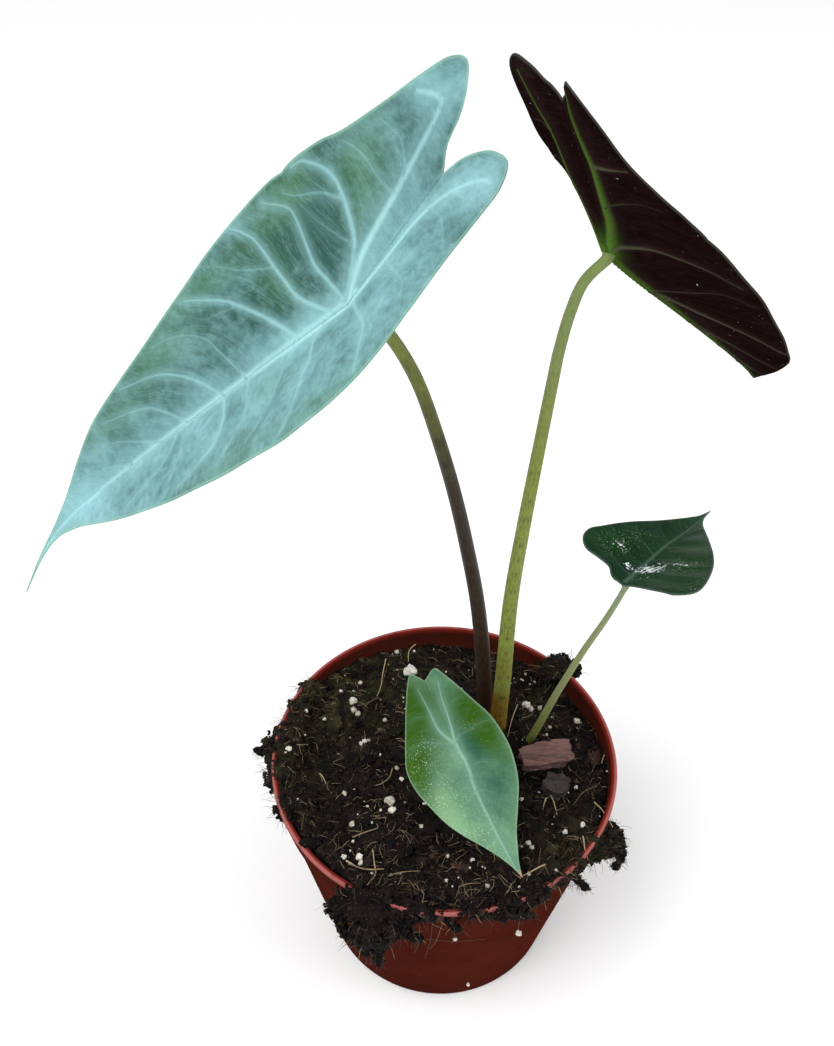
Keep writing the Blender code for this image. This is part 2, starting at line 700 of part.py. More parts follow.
def blade_ribs(sheet):
    """Return the blade's ribs as (is a main rib, points) pairs: midrib, lobe ribs and laterals."""
    step = sheet.form.grid
    length = sheet.length
    ribs = [(True, bow((0, sheet.sides[1][0][1] + 3), (0, 0), (0, length * 0.93), step))]
    for side in (+1, -1):
        lobe_u, lobe_v = min(sheet.sides[side], key=lambda point: point[1])
        middle = (side * 0.44 * lobe_u, 0.275 * lobe_v)
        end = (side * 0.93 * lobe_u, 0.93 * lobe_v)
        ribs.append((True, bow((0, 0), middle, end, step)[1:]))
        for start in LOBE_RIB_STARTS:
            root = tuple(2 * start * (1 - start) * m + start**2 * e for m, e in zip(middle, end))
            target_v = root[1] - LOBE_RIB_DROP * abs(lobe_v)
            width = sheet.width(side, target_v) * 0.94
            bend = (0.5 * (root[0] + side * width), target_v)
            ribs.append((False, bow(root, bend, (side * width, target_v), step)[1:]))
        for start, end_share in zip(LATERAL_STARTS, LATERAL_ENDS):
            start_v, end_v = start * length, end_share * length
            width = sheet.width(side, end_v) * 0.93
            middle = (side * 0.58 * width, start_v + 0.08 * (end_v - start_v))
            ribs.append((False, bow((0, start_v), middle, (side * width, end_v), step)[1:]))
    return ribs


def far_from(point, others, distance):
    """Tell whether a flat point keeps a distance from all the others."""
    return not len(others) or float(np.min(np.hypot(*(np.array(others) - point).T))) > distance


def inside(point, outline):
    """Tell whether a flat point lies inside a closed outline."""
    x, y = point
    found = False
    for (x1, y1), (x2, y2) in zip(outline, outline[1:] + outline[:1]):
        if (y1 > y) != (y2 > y) and x < (x2 - x1) * (y - y1) / (y2 - y1) + x1:
            found = not found
    return found


def blade_points(sheet):
    """Return the outline, and all flat points: outline, ribs, and a grid between them."""
    right = sheet.sides[+1]
    left = [(-u, v) for u, v in sheet.sides[-1]]
    outline = right + left[-2:0:-1]
    grid = sheet.form.grid
    points = list(outline)
    for _, rib in blade_ribs(sheet):
        for u, v in rib:
            if inside((u, v), outline) and far_from((u, v), points, RIB_CLEARANCE * grid):
                points.append((u, v))
    rows = np.arange(sheet.rear, sheet.length, grid * 0.866)
    for row, v in enumerate(rows):
        for u in np.arange(-40, 40, grid) + (row % 2) * grid / 2:
            if inside((u, v), outline) and far_from((u, v), points, GRID_CLEARANCE * grid):
                points.append((float(u), float(v)))
    return outline, points


def rib_field(sheet, ribs, point):
    """Return the distance in mm to the nearest rib, and the rib height there."""
    u, v = point
    nearest = 1e3
    height = 0.0
    for is_main, rib in ribs:
        line = np.array(rib if len(rib) > 1 else rib * 2)
        start, way = line[:-1], line[1:] - line[:-1]
        share = np.clip(((point - start) * way).sum(1) / np.maximum((way**2).sum(1), 1e-9), 0, 1)
        distance = float(np.hypot(*(start + share[:, None] * way - point).T).min())
        nearest = min(nearest, distance)
        reach = MAIN_RIB_REACH if is_main else FINE_RIB_REACH
        height = max(height, rib_height(v, is_main, sheet.length) * max(0.0, 1 - distance / reach))
    return nearest, float(height)


def build_blade(name, finish):
    """Build one leaf blade: a thin folded sheet, quilted between ribs that stand out below."""
    sheet = Sheet(BLADES[name])
    ribs = blade_ribs(sheet)
    outline, points = blade_points(sheet)
    loop = list(range(len(outline)))
    edges = list(zip(loop, loop[1:] + loop[:1]))
    flat, _, faces, _, _, _ = delaunay_2d_cdt([Vector(p) for p in points], edges, [loop], 1, 1e-4)
    form = bmesh.new()
    top, bottom = [], []
    for point in flat:
        u, v = point
        distance, ridge = rib_field(sheet, ribs, np.array((u, v)))
        side = +1 if u >= 0 else -1
        outward = min(abs(u) / max(sheet.width(side, v), 3.0), 1.0)
        from_tip = min(max((sheet.length - v) / WAVE_FADE, 0.0), 1.0)
        wave = EDGE_WAVE * from_tip * outward**3 * math.sin(2 * math.pi * v * MM / EDGE_WAVE_LENGTH + side)
        quilt = QUILTING * (1 - math.exp(-(distance * MM / QUILT_REACH) ** 2)) * (1 - outward**4)
        up = sheet.normal(u, v)
        upper = sheet.point(u, v) + up * (wave + quilt)
        top.append(form.verts.new(upper))
        bottom.append(form.verts.new(upper - up * (BLADE_THICKNESS + ridge)))
    for a, b, c in faces:
        form.faces.new((top[a], top[b], top[c]))
        form.faces.new((bottom[c], bottom[b], bottom[a]))
    rim = {(a, b) for face in faces for a, b in zip(face, face[1:] + face[:1])}
    for a, b in sorted(pair for pair in rim if pair[::-1] not in rim):
        form.faces.new((top[b], top[a], bottom[a], bottom[b]))
    return mesh_object(name, form, finish, smooth_angle=50)


def main():
    """Build the whole plant."""
    clear_scene()
    build_pot()
    build_soil(material("soil", PEAT_BROWN, 0.95))
    corm_object("corm", finish=material("corm", CORM_BROWN, 0.8))
    stalk_finish = material("stalk", STALK_GREEN, 0.5)
    for name in STALKS:
        build_stalk(name, stalk_finish)
    colours = {"blade_left": BLADE_SILVER, "blade_right": BLADE_DARK, "blade_small_right": BLADE_GREEN,
               "blade_front": BLADE_GREEN}
    for name, colour in colours.items():
        build_blade(name, material(name, colour, 0.35))
    for name, chip in BARK_CHIPS.items():
        mesh_object(name, bark_form(name), material(name, chip[-1], 0.8), smooth_angle=30)


main()
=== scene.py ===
"""Looks of a potted Alocasia amazonica: four leaves on bare stalks in a red-brown nursery pot of peat.

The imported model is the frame: metres, +Z up, with the origin at the centre of the pot's foot. The plant's and
the pot's lengths are millimetres until their meshes are made. The studio and the materials are in metres. A
blade is drawn flat (across, along) from the place where its stalk joins it, and is then folded, bent and
turned into place as its solid is.
"""

import json
import logging
import math
import random
from dataclasses import dataclass, field, replace
from enum import Enum
from typing import ClassVar

import bpy
import numpy as np
from bpy.types import Material, Node, NodeOutputs, NodeSocket, NodeTree, Object
from mathutils import Matrix, Vector, noise
from mathutils.geometry import delaunay_2d_cdt

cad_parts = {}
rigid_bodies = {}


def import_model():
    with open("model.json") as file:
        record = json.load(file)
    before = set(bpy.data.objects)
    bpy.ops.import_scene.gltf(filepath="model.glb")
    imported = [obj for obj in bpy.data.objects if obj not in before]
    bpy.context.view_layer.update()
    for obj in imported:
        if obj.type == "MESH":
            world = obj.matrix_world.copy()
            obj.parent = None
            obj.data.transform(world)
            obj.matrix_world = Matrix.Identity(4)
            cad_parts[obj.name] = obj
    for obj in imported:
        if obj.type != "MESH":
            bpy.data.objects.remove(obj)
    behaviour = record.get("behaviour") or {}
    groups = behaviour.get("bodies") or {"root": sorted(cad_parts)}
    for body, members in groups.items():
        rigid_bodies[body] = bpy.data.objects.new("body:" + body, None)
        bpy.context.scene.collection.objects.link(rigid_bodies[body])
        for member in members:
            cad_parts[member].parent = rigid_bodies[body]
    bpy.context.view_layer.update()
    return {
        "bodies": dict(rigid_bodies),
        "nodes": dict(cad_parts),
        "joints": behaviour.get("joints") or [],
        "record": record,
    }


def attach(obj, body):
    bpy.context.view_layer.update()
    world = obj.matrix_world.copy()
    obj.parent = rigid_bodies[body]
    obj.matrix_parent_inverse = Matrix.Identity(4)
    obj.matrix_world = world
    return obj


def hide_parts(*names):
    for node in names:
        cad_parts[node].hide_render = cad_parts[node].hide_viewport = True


LOG = logging.getLogger("alocasia")
MM = 0.001
BODY = "root"
ROW_STEP = 0.866  # the distance between the rows of an even net, in steps across


def shade(red: float, green: float, blue: float) -> tuple:
    """Return the shader's linear colour for a colour given as 0 to 255 on screen.

    Args:
        red: the red part.
        green: the green part.
        blue: the blue part.

    Returns:
        The linear colour with full alpha.
    """
    parts = []
    for part in (red / 255, green / 255, blue / 255):
        parts.append(part / 12.92 if part <= 0.04045 else ((part + 0.055) / 1.055) ** 2.4)
    return (*parts, 1.0)


class Wiring:
    """Adds and joins the nodes of one material or node group."""

    def __init__(self, tree: NodeTree) -> None:
        """Keep the tree that the nodes go into."""
        self.tree = tree

    def add(self, kind: str, **settings: object) -> Node:
        """Add a node.

        Args:
            kind: the node's type.
            settings: values of the node's own properties.

        Returns:
            The new node.
        """
        node = self.tree.nodes.new(kind)
        for name, value in settings.items():
            setattr(node, name, value)
        return node

    def feed(self, socket: NodeSocket, value: object) -> None:
        """Link an output to a socket, or set the socket's value.

        Args:
            socket: the input.
            value: an output socket or a plain value.
        """
        if isinstance(value, NodeSocket):
            self.tree.links.new(value, socket)
        else:
            socket.default_value = value

    def math(self, operation: str, first: object, second: object = 0.0, clamp: bool = False) -> object:
        """Return the result of a math node.

        Args:
            operation: the operation's name.
            first: the first value.
            second: the second value.
            clamp: whether the result stays between 0 and 1.

        Returns:
            The output socket.
        """
        node = self.add("ShaderNodeMath", operation=operation, use_clamp=clamp)
        self.feed(node.inputs[0], first)
        self.feed(node.inputs[1], second)
        return node.outputs[0]

    def times(self, first: object, second: object) -> object:
        """Return the product of two values."""
        return self.math("MULTIPLY", first, second)

    def plus(self, first: object, second: object, clamp: bool = False) -> object:
        """Return the sum of two values, kept between 0 and 1 where clamp says so."""
        return self.math("ADD", first, second, clamp)

    def mix(self, factor: object, first: object, second: object, blend: str = "MIX") -> object:
        """Return a mix of two colours.

        Args:
            factor: how much of the second shows.
            first: the colour below.
            second: the colour above.
            blend: how they mix.

        Returns:
            The output socket.
        """
        node = self.add("ShaderNodeMix", data_type="RGBA", blend_type=blend)
        node.clamp_factor = True
        self.feed(node.inputs[0], factor)
        self.feed(node.inputs[6], first)
        self.feed(node.inputs[7], second)
        return node.outputs[2]

    def spread(self, value: object, low: float, high: float, start: float = 0.0, end: float = 1.0) -> object:
        """Return a value carried smoothly from one range to another.

        Args:
            value: the value.
            low: the value that gives start.
            high: the value that gives end.
            start: the result at low.
            end: the result at high.

        Returns:
            The output socket.
        """
        node = self.add("ShaderNodeMapRange", interpolation_type="SMOOTHSTEP")
        self.feed(node.inputs[0], value)
        for index, setting in zip((1, 2, 3, 4), (low, high, start, end)):
            self.feed(node.inputs[index], setting)
        return node.outputs[0]

    def place(self, stretch: tuple = (1.0, 1.0, 1.0)) -> object:
        """Return the object coordinates, stretched along the axes."""
        coordinates = self.add("ShaderNodeTexCoord").outputs["Object"]
        if stretch == (1.0, 1.0, 1.0):
            return coordinates
        mapping = self.add("ShaderNodeMapping")
        self.feed(mapping.inputs["Vector"], coordinates)
        mapping.inputs["Scale"].default_value = stretch
        return mapping.outputs[0]

    def noise(self, scale: object, detail: float = 4.0, roughness: float = 0.55, distortion: float = 0.0,
              vector: object = None) -> object:
        """Return a noise value.

        Args:
            scale: the noise's scale.
            detail: its octaves.
            roughness: the weight of the fine octaves.
            distortion: how far the pattern is pushed about.
            vector: the coordinates, if not the object's own.

        Returns:
            The output socket.
        """
        node = self.add("ShaderNodeTexNoise")
        self.feed(node.inputs["Vector"], self.place() if vector is None else vector)
        self.feed(node.inputs["Scale"], scale)
        node.inputs["Detail"].default_value = detail
        node.inputs["Roughness"].default_value = roughness
        node.inputs["Distortion"].default_value = distortion
        return node.outputs[0]

    def attribute(self, name: str) -> object:
        """Return a number that the mesh holds for each of its points."""
        return self.add("ShaderNodeAttribute", attribute_name=name).outputs["Fac"]

    def join(self, x: object, y: object, z: object = 0.0) -> object:
        """Return a vector of three values."""
        node = self.add("ShaderNodeCombineXYZ")
        for socket, value in zip(node.inputs, (x, y, z)):
            self.feed(socket, value)
        return node.outputs[0]

    def height(self) -> object:
        """Return the height over the pot's foot, in metres."""
        node = self.add("ShaderNodeSeparateXYZ")
        self.feed(node.inputs[0], self.place())
        return node.outputs[2]

    def radius(self) -> object:
        """Return the distance from the pot's axis, in metres."""
        node = self.add("ShaderNodeVectorMath", operation="LENGTH")
        self.feed(node.inputs[0], self.place((1.0, 1.0, 0.0)))
        return node.outputs["Value"]

    def ramp(self, value: object, stops: tuple) -> object:
        """Return a colour that runs through several stops.

        Args:
            value: the place on the ramp, 0 to 1.
            stops: (position, colour) pairs.

        Returns:
            The output socket.
        """
        node = self.add("ShaderNodeValToRGB")
        ramp = node.color_ramp
        while len(ramp.elements) < len(stops):
            ramp.elements.new(0.5)
        for element, (position, colour) in zip(ramp.elements, stops):
            element.position = position
            element.color = colour
        self.feed(node.inputs[0], value)
        return node.outputs[0]

    def bump(self, height: object, distance: float, strength: float = 1.0, normal: object = None) -> object:
        """Return a bumped normal.

        Args:
            height: the height, 0 to 1.
            distance: how deep a height of 1 is, in metres.
            strength: how much of it shows.
            normal: a normal that is bumped already.

        Returns:
            The output socket.
        """
        node = self.add("ShaderNodeBump")
        node.inputs["Strength"].default_value = strength
        node.inputs["Distance"].default_value = distance
        self.feed(node.inputs["Height"], height)
        if normal is not None:
            self.feed(node.inputs["Normal"], normal)
        return node.outputs[0]

    def group(self, name: str, **values: object) -> NodeOutputs:
        """Add a shared node group.

        Args:
            name: the group's name.
            values: values or outputs for its inputs.

        Returns:
            The group's outputs.
        """
        node = self.add("ShaderNodeGroup")
        node.node_tree = bpy.data.node_groups[name]
        for key, value in values.items():
            self.feed(node.inputs[key], value)
        return node.outputs

    def dress(self, colour: object, roughness: object, specular: float, normal: object = None) -> None:
        """Join what a finish puts out to its Principled shader.

        Args:
            colour: the base colour.
            roughness: the roughness.
            specular: how strongly it mirrors, 0 to 1.
            normal: a bumped normal.
        """
        inputs = self.tree.nodes["Principled BSDF"].inputs
        self.feed(inputs["Base Color"], colour)
        self.feed(inputs["Roughness"], roughness)
        self.feed(inputs["Specular IOR Level"], specular)
        if normal is not None:
            self.feed(inputs["Normal"], normal)


class SharedEffects:
    """The node groups that several finishes use."""

    def build(self) -> None:
        """Build every group once."""
        self.build_specks()
        self.build_mottle()
        self.build_markings()

    @staticmethod
    def _start(name: str, inputs: dict, outputs: tuple) -> tuple:
        """Make an empty group.

        Args:
            name: the group's name.
            inputs: each float input with its usual value.
            outputs: the names of the float outputs.

        Returns:
            The wiring, the sockets that the group is given and those that it puts out.
        """
        tree = bpy.data.node_groups.new(name, "ShaderNodeTree")
        for label, value in inputs.items():
            socket = tree.interface.new_socket(label, in_out="INPUT", socket_type="NodeSocketFloat")
            socket.default_value = value
        for label in outputs:
            tree.interface.new_socket(label, in_out="OUTPUT", socket_type="NodeSocketFloat")
        wiring = Wiring(tree)
        return wiring, wiring.add("NodeGroupInput").outputs, wiring.add("NodeGroupOutput").inputs

    def build_specks(self) -> None:
        """Build the scattered dots: dust, pores and splashes."""
        wiring, given, result = self._start("specks", {"Scale": 900.0, "Share": 0.2, "Size": 0.3}, ("Mask",))
        cells = wiring.add("ShaderNodeTexVoronoi")
        wiring.feed(cells.inputs["Vector"], wiring.place())
        wiring.feed(cells.inputs["Scale"], given["Scale"])
        parts = wiring.add("ShaderNodeSeparateColor")
        wiring.feed(parts.inputs[0], cells.outputs["Color"])
        size = wiring.times(given["Size"], wiring.spread(parts.outputs[1], 0, 1, 0.4, 1.0))
        inner = wiring.times(size, 0.6)
        dot = wiring.add("ShaderNodeMapRange", interpolation_type="SMOOTHSTEP")
        for index, value in enumerate((cells.outputs["Distance"], inner, size, 1.0, 0.0)):
            wiring.feed(dot.inputs[index], value)
        chosen = wiring.math("LESS_THAN", parts.outputs[0], given["Share"])
        wiring.feed(result["Mask"], wiring.times(dot.outputs[0], chosen))

    def build_mottle(self) -> None:
        """Build the cloudy change of tone that most natural surfaces have."""
        wiring, given, result = self._start("mottle", {"Scale": 60.0, "Contrast": 1.0}, ("Value",))
        broad = wiring.noise(given["Scale"], 3.0)
        fine = wiring.noise(wiring.times(given["Scale"], 5.3), 4.0, 0.62)
        both = wiring.plus(wiring.times(broad, 0.62), wiring.times(fine, 0.38))
        centred = wiring.times(wiring.math("SUBTRACT", both, 0.5), 2.2)
        scaled = wiring.times(centred, given["Contrast"])
        wiring.feed(result["Value"], wiring.plus(scaled, 0.5, clamp=True))

    def build_markings(self) -> None:
        """Build a blade's masks: veins, their soft glow, the fine veinlets between them and the margin."""
        wiring, given, result = self._start("markings", {"Margin": 0.9},
                                            ("Vein", "Glow", "Veinlet", "Margin", "Centre"))
        vein = wiring.attribute("vein")
        ragged = wiring.noise(900.0, 2.0)
        worn = wiring.plus(vein, wiring.times(wiring.math("SUBTRACT", ragged, 0.5), 0.55))
        strong = wiring.times(wiring.spread(worn, 0.1, 1.9, 1.0, 0.0), wiring.attribute("power"))
        wiring.feed(result["Vein"], strong)
        wiring.feed(result["Glow"], wiring.attribute("glow"))
        lane = wiring.attribute("lane")
        reach = wiring.attribute("reach")
        lines = []
        for lanes, along, shift, roughness, distortion, width in ((5.2, 0.055, 0.3, 0.62, 0.35, 0.035),
                                                                  (11.0, 0.12, 7.3, 0.6, 0.5, 0.05)):
            flow = wiring.join(wiring.times(lane, lanes), wiring.times(reach, along), shift)
            cloud = wiring.noise(1.0, 3.0, roughness, distortion, flow)
            away = wiring.math("ABSOLUTE", wiring.math("SUBTRACT", cloud, 0.5))
            lines.append(wiring.spread(away, 0.0, width, 1.0, 0.0))
        coarse, fine = lines
        wiring.feed(result["Veinlet"], wiring.math("MAXIMUM", coarse, wiring.times(fine, 0.55)))
        margin = wiring.math("DIVIDE", wiring.attribute("margin"), given["Margin"])
        wiring.feed(result["Margin"], wiring.spread(margin, 0.25, 1.2, 1.0, 0.0))
        wiring.feed(result["Centre"], wiring.spread(wiring.attribute("spine"), 0.08, 0.38, 1.0, 0.0))


class Finish:
    """The values of a material, which is built anew for each piece that wears it."""

    name: str

    def start(self) -> tuple:
        """Return a new material and its wiring."""
        material = bpy.data.materials.new(self.name)
        material.use_nodes = True
        return material, Wiring(material.node_tree)


@dataclass(frozen=True)
class BladeSkin(Finish):
    """One face of a blade: its tones between the veins, its veins and its gloss."""

    name: str
    deep: tuple
    pale: tuple
    green: tuple
    rib: tuple
    vein: tuple
    glow: tuple
    margin: tuple
    tip: tuple
    dust: tuple = (0.8, 0.84, 0.78, 1.0)
    water: tuple = (0.78, 0.86, 0.88, 1.0)
    vein_strength: float = 0.85
    glow_strength: float = 0.4
    veinlet_strength: float = 0.3
    centre_strength: float = 0.0
    margin_strength: float = 0.8
    margin_width: float = 0.5
    dust_share: float = 0.0
    gloss: float = 0.45
    relief: float = 0.15
    specular: float = 0.2
    contrast: float = 1.1
    cloud_scale: float = 85.0

    def build(self) -> Material:
        """Return the material."""
        material, wiring = self.start()
        marks = wiring.group("markings", Margin=self.margin_width)
        cloud = wiring.group("mottle", Scale=self.cloud_scale, Contrast=self.contrast)[0]
        # light mark: paler and darker patches; on the silver blade, partly painted sheen and painted shade.
        tone = wiring.plus(wiring.times(cloud, 0.7), wiring.attribute("light"), clamp=True)
        ground = wiring.mix(tone, self.deep, self.pale)
        ground = wiring.mix(wiring.attribute("green"), ground, self.green)
        vein = wiring.mix(wiring.attribute("rib"), self.vein, self.rib)
        for mark, strength, colour in (("Veinlet", self.veinlet_strength, self.glow),
                                       ("Glow", self.glow_strength, self.glow),
                                       ("Vein", self.vein_strength, vein),
                                       ("Centre", self.centre_strength, self.deep),
                                       ("Margin", self.margin_strength, self.margin)):
            ground = wiring.mix(wiring.times(marks[mark], strength), ground, colour)
        grain = wiring.noise(2600.0, 2.0)
        ground = wiring.mix(0.12, ground, wiring.mix(grain, (0, 0, 0, 1), (1, 1, 1, 1)), "SOFT_LIGHT")
        if self.dust_share > 0:
            near = wiring.group("specks", Scale=2300.0, Share=self.dust_share, Size=0.48)[0]
            dust = wiring.times(wiring.times(near, wiring.attribute("dust")), 0.8)
            ground = wiring.mix(dust, ground, self.dust)
            splash = wiring.noise(950.0, 3.0, 0.6, 0.4)
            wetness = wiring.plus(splash, wiring.times(wiring.attribute("wet"), 0.3))
            wet = wiring.spread(wetness, 0.72, 0.8)
            ground = wiring.mix(wet, ground, self.water)
        ground = wiring.mix(wiring.attribute("dry"), ground, self.tip)
        rough = wiring.spread(grain, 0.2, 0.8, self.gloss - 0.06, self.gloss + 0.08)
        raised = wiring.plus(wiring.times(marks["Vein"], 0.6), wiring.times(marks["Veinlet"], 0.3))
        normal = wiring.bump(raised, self.relief * MM, 0.8)
        normal = wiring.bump(wiring.noise(1500.0, 3.0), 0.06 * MM, 0.6, normal)
        wiring.dress(ground, rough, self.specular, normal)
        return material


@dataclass(frozen=True)
class StalkSkin(Finish):
    """A leaf stalk's skin: its colour from foot to top, its dashes and its fine ribs."""

    name: str
    foot: tuple
    middle: tuple
    top: tuple
    dash: tuple
    dash_share: float
    pale_dash: tuple = shade(150, 136, 110)
    pale_share: float = 0.0
    foot_end: float = 0.25
    top_start: float = 0.8

    def build(self) -> Material:
        """Return the material."""
        material, wiring = self.start()
        rise = wiring.attribute("rise")
        turn = wiring.attribute("turn")
        length = wiring.attribute("length")
        cloud = wiring.group("mottle", Scale=90.0, Contrast=1.0)[0]
        blurred = wiring.plus(rise, wiring.times(wiring.math("SUBTRACT", cloud, 0.5), 0.22))
        lower = wiring.spread(blurred, self.foot_end * 0.3, self.foot_end * 1.5)
        upper = wiring.spread(blurred, self.top_start - 0.2, self.top_start + 0.2)
        colour = wiring.mix(upper, wiring.mix(lower, self.foot, self.middle), self.top)
        rows = wiring.join(wiring.times(turn, 34.0), wiring.times(length, 260.0), 0.0)
        streaks = wiring.noise(1.0, 3.0, 0.65, vector=rows)
        dashes = wiring.spread(streaks, 0.60 - 0.22 * self.dash_share, 0.72 - 0.18 * self.dash_share)
        fading = wiring.spread(rise, 0.55, 1.0, 1.0, 0.25)
        colour = wiring.mix(wiring.times(dashes, fading), colour, self.dash)
        marks = wiring.join(wiring.times(turn, 17.0), wiring.times(length, 90.0), 4.0)
        blots = wiring.spread(wiring.noise(1.0, 2.0, 0.5, vector=marks), 0.62, 0.7)
        gate = wiring.spread(rise, 0.25, 0.85, 1.0, 0.1)
        colour = wiring.mix(wiring.times(wiring.times(blots, gate), 0.8), colour, self.dash)
        if self.pale_share > 0:
            flecks = wiring.noise(1.7, 2.0, 0.6, vector=rows)
            pale = wiring.spread(flecks, 0.70 - 0.15 * self.pale_share, 0.76)
            colour = wiring.mix(wiring.times(pale, 0.6), colour, self.pale_dash)
        ridges = wiring.join(wiring.times(turn, 46.0), wiring.times(length, 30.0), 9.0)
        normal = wiring.bump(wiring.noise(1.0, 2.0, vector=ridges), 0.18 * MM, 0.8)
        wiring.dress(colour, wiring.spread(streaks, 0.2, 0.8, 0.42, 0.6), 0.2, normal)
        return material


@dataclass(frozen=True)
class PotPlastic(Finish):
    """The pot's moulded plastic, with a painted pale pink highlight along its rim, and dusty from peat.

    A band is a pair of metres, from where it starts to show to where it shows in full: the rim highlight's and
    the dirt's over the foot, the lip highlight's from the pot's axis.
    """

    name: str = "pot_plastic"
    wall: tuple = shade(79, 31, 23)
    wall_dark: tuple = shade(54, 22, 16)
    # The rim's pale pink is a painted highlight.
    rim: tuple = shade(166, 96, 92)
    groove: tuple = shade(112, 34, 28)
    dirt: tuple = shade(30, 18, 14)
    dust: tuple = shade(150, 110, 96)
    rim_highlight_band: tuple = (0.0900, 0.0914)
    lip_highlight_band: tuple = (0.0588, 0.0591)
    dirt_band: tuple = (0.050, 0.086)

    def build(self) -> Material:
        """Return the material."""
        material, wiring = self.start()
        height = wiring.height()
        cloud = wiring.group("mottle", Scale=26.0, Contrast=1.0)[0]
        colour = wiring.mix(cloud, self.wall_dark, self.wall)
        # Painted highlight: the rim's top and outer lip turn pale pink.
        ring = wiring.spread(height, *self.rim_highlight_band)
        lip = wiring.mix(wiring.spread(wiring.radius(), *self.lip_highlight_band), self.groove, self.rim)
        colour = wiring.mix(wiring.times(ring, 0.9), colour, lip)
        smudge = wiring.spread(wiring.noise(75.0, 5.0, 0.7), 0.52, 0.68)
        near_rim = wiring.spread(height, *self.dirt_band, 0.04, 0.5)
        colour = wiring.mix(wiring.times(smudge, near_rim), colour, self.dirt)
        dust = wiring.group("specks", Scale=1100.0, Share=0.05, Size=0.3)[0]
        colour = wiring.mix(wiring.times(dust, 0.35), colour, self.dust)
        wear = wiring.noise(260.0, 4.0, 0.65, vector=wiring.place((1, 1, 0.25)))
        rough = wiring.spread(wear, 0.3, 0.75, 0.3, 0.48)
        wiring.dress(colour, rough, 0.0, wiring.bump(wear, 0.08 * MM, 0.5))
        return material


@dataclass(frozen=True)
class PeatSkin(Finish):
    """Moist peat: nearly black, browner in places, with moss where the mesh says so."""

    name: str = "peat"
    black: tuple = shade(8, 6, 6)
    brown: tuple = shade(28, 21, 19)
    rust: tuple = shade(78, 54, 44)
    moss: tuple = shade(62, 64, 34)
    # Pale specks, partly straw and partly painted glints.
    straw_and_glint: tuple = shade(128, 118, 102)

    def build(self) -> Material:
        """Return the material."""
        material, wiring = self.start()
        tone = wiring.attribute("tone")
        cloud = wiring.noise(420.0, 5.0, 0.7)
        mixed = wiring.plus(wiring.times(cloud, 0.55), wiring.times(tone, 0.6))
        colour = wiring.ramp(mixed, ((0.3, self.black), (0.72, self.brown), (1.0, self.rust)))
        colour = wiring.mix(wiring.times(wiring.attribute("moss"), 0.75), colour, self.moss)
        # Pale specks: partly straw and partly painted glints.
        straw_and_glint_specks = wiring.group("specks", Scale=1900.0, Share=0.15, Size=0.34)[0]
        colour = wiring.mix(wiring.times(straw_and_glint_specks, 0.55), colour, self.straw_and_glint)
        rough = wiring.spread(cloud, 0.3, 0.7, 0.55, 0.9)
        fine = wiring.noise(1500.0, 4.0, 0.7)
        wiring.dress(colour, rough, 0.1, wiring.bump(fine, 0.5 * MM, 0.9))
        return material


@dataclass(frozen=True)
class FibreSkin(Finish):
    """Root fibres and straws, from dark to tan by the tone of each."""

    name: str = "fibre"
    dark: tuple = shade(20, 15, 13)
    tan: tuple = shade(84, 70, 54)
    pale: tuple = shade(168, 150, 118)

    def build(self) -> Material:
        """Return the material."""
        material, wiring = self.start()
        streak = wiring.noise(800.0, 3.0)
        tone = wiring.plus(wiring.attribute("tone"), wiring.times(streak, 0.3))
        colour = wiring.ramp(tone, ((0.12, self.dark), (0.7, self.tan), (1.0, self.pale)))
        rough = wiring.spread(streak, 0.3, 0.7, 0.6, 0.8)
        wiring.dress(colour, rough, 0.1, wiring.bump(streak, 0.05 * MM, 0.5))
        return material


@dataclass(frozen=True)
class StoneSkin(Finish):
    """White, porous perlite, with peat in its hollows."""

    name: str = "perlite"
    white: tuple = shade(214, 212, 200)
    grey: tuple = shade(150, 140, 118)
    pit: tuple = shade(62, 54, 44)

    def build(self) -> Material:
        """Return the material."""
        material, wiring = self.start()
        cloud = wiring.noise(900.0, 4.0, 0.65)
        tone = wiring.plus(cloud, wiring.times(wiring.attribute("tone"), 0.35))
        colour = wiring.mix(wiring.spread(tone, 0.35, 0.8), self.grey, self.white)
        pits = wiring.group("specks", Scale=2000.0, Share=0.4, Size=0.45)[0]
        colour = wiring.mix(wiring.times(pits, 0.75), colour, self.pit)
        rough = wiring.spread(cloud, 0.3, 0.7, 0.75, 0.95)
        wiring.dress(colour, rough, 0.5, wiring.bump(cloud, 0.3 * MM, 0.7))
        return material


@dataclass(frozen=True)
class BarkSkin(Finish):
    """Bark in thin layers, streaked along its grain."""

    name: str
    dark: tuple
    light: tuple
    crack: tuple
    grain: tuple = (60.0, 420.0, 420.0)
    crack_grain: tuple = (90.0, 800.0, 800.0)

    def build(self) -> Material:
        """Return the material."""
        material, wiring = self.start()
        layers = wiring.noise(1.0, 5.0, 0.62, vector=wiring.place(self.grain))
        colour = wiring.mix(wiring.spread(layers, 0.32, 0.68), self.dark, self.light)
        cracks = wiring.noise(1.0, 3.0, 0.7, vector=wiring.place(self.crack_grain))
        colour = wiring.mix(wiring.spread(cracks, 0.58, 0.68, 0.0, 0.8), colour, self.crack)
        rough = wiring.spread(layers, 0.3, 0.7, 0.6, 0.85)
        wiring.dress(colour, rough, 0.5, wiring.bump(layers, 0.7 * MM, 0.8))
        return material


@dataclass(frozen=True)
class FloorPaint(Finish):
    """The stage's plain pale floor."""

    name: str = "floor"
    colour: tuple = (0.97, 0.97, 0.97, 1.0)

    def build(self) -> Material:
        """Return the material."""
        material, wiring = self.start()
        wiring.dress(self.colour, 0.9, 0.0)
        return material


def deselect() -> None:
    """Leave edit mode and deselect every object."""
    if bpy.context.object and bpy.context.object.mode != "OBJECT":
        bpy.ops.object.mode_set(mode="OBJECT")
    bpy.ops.object.select_all(action="DESELECT")


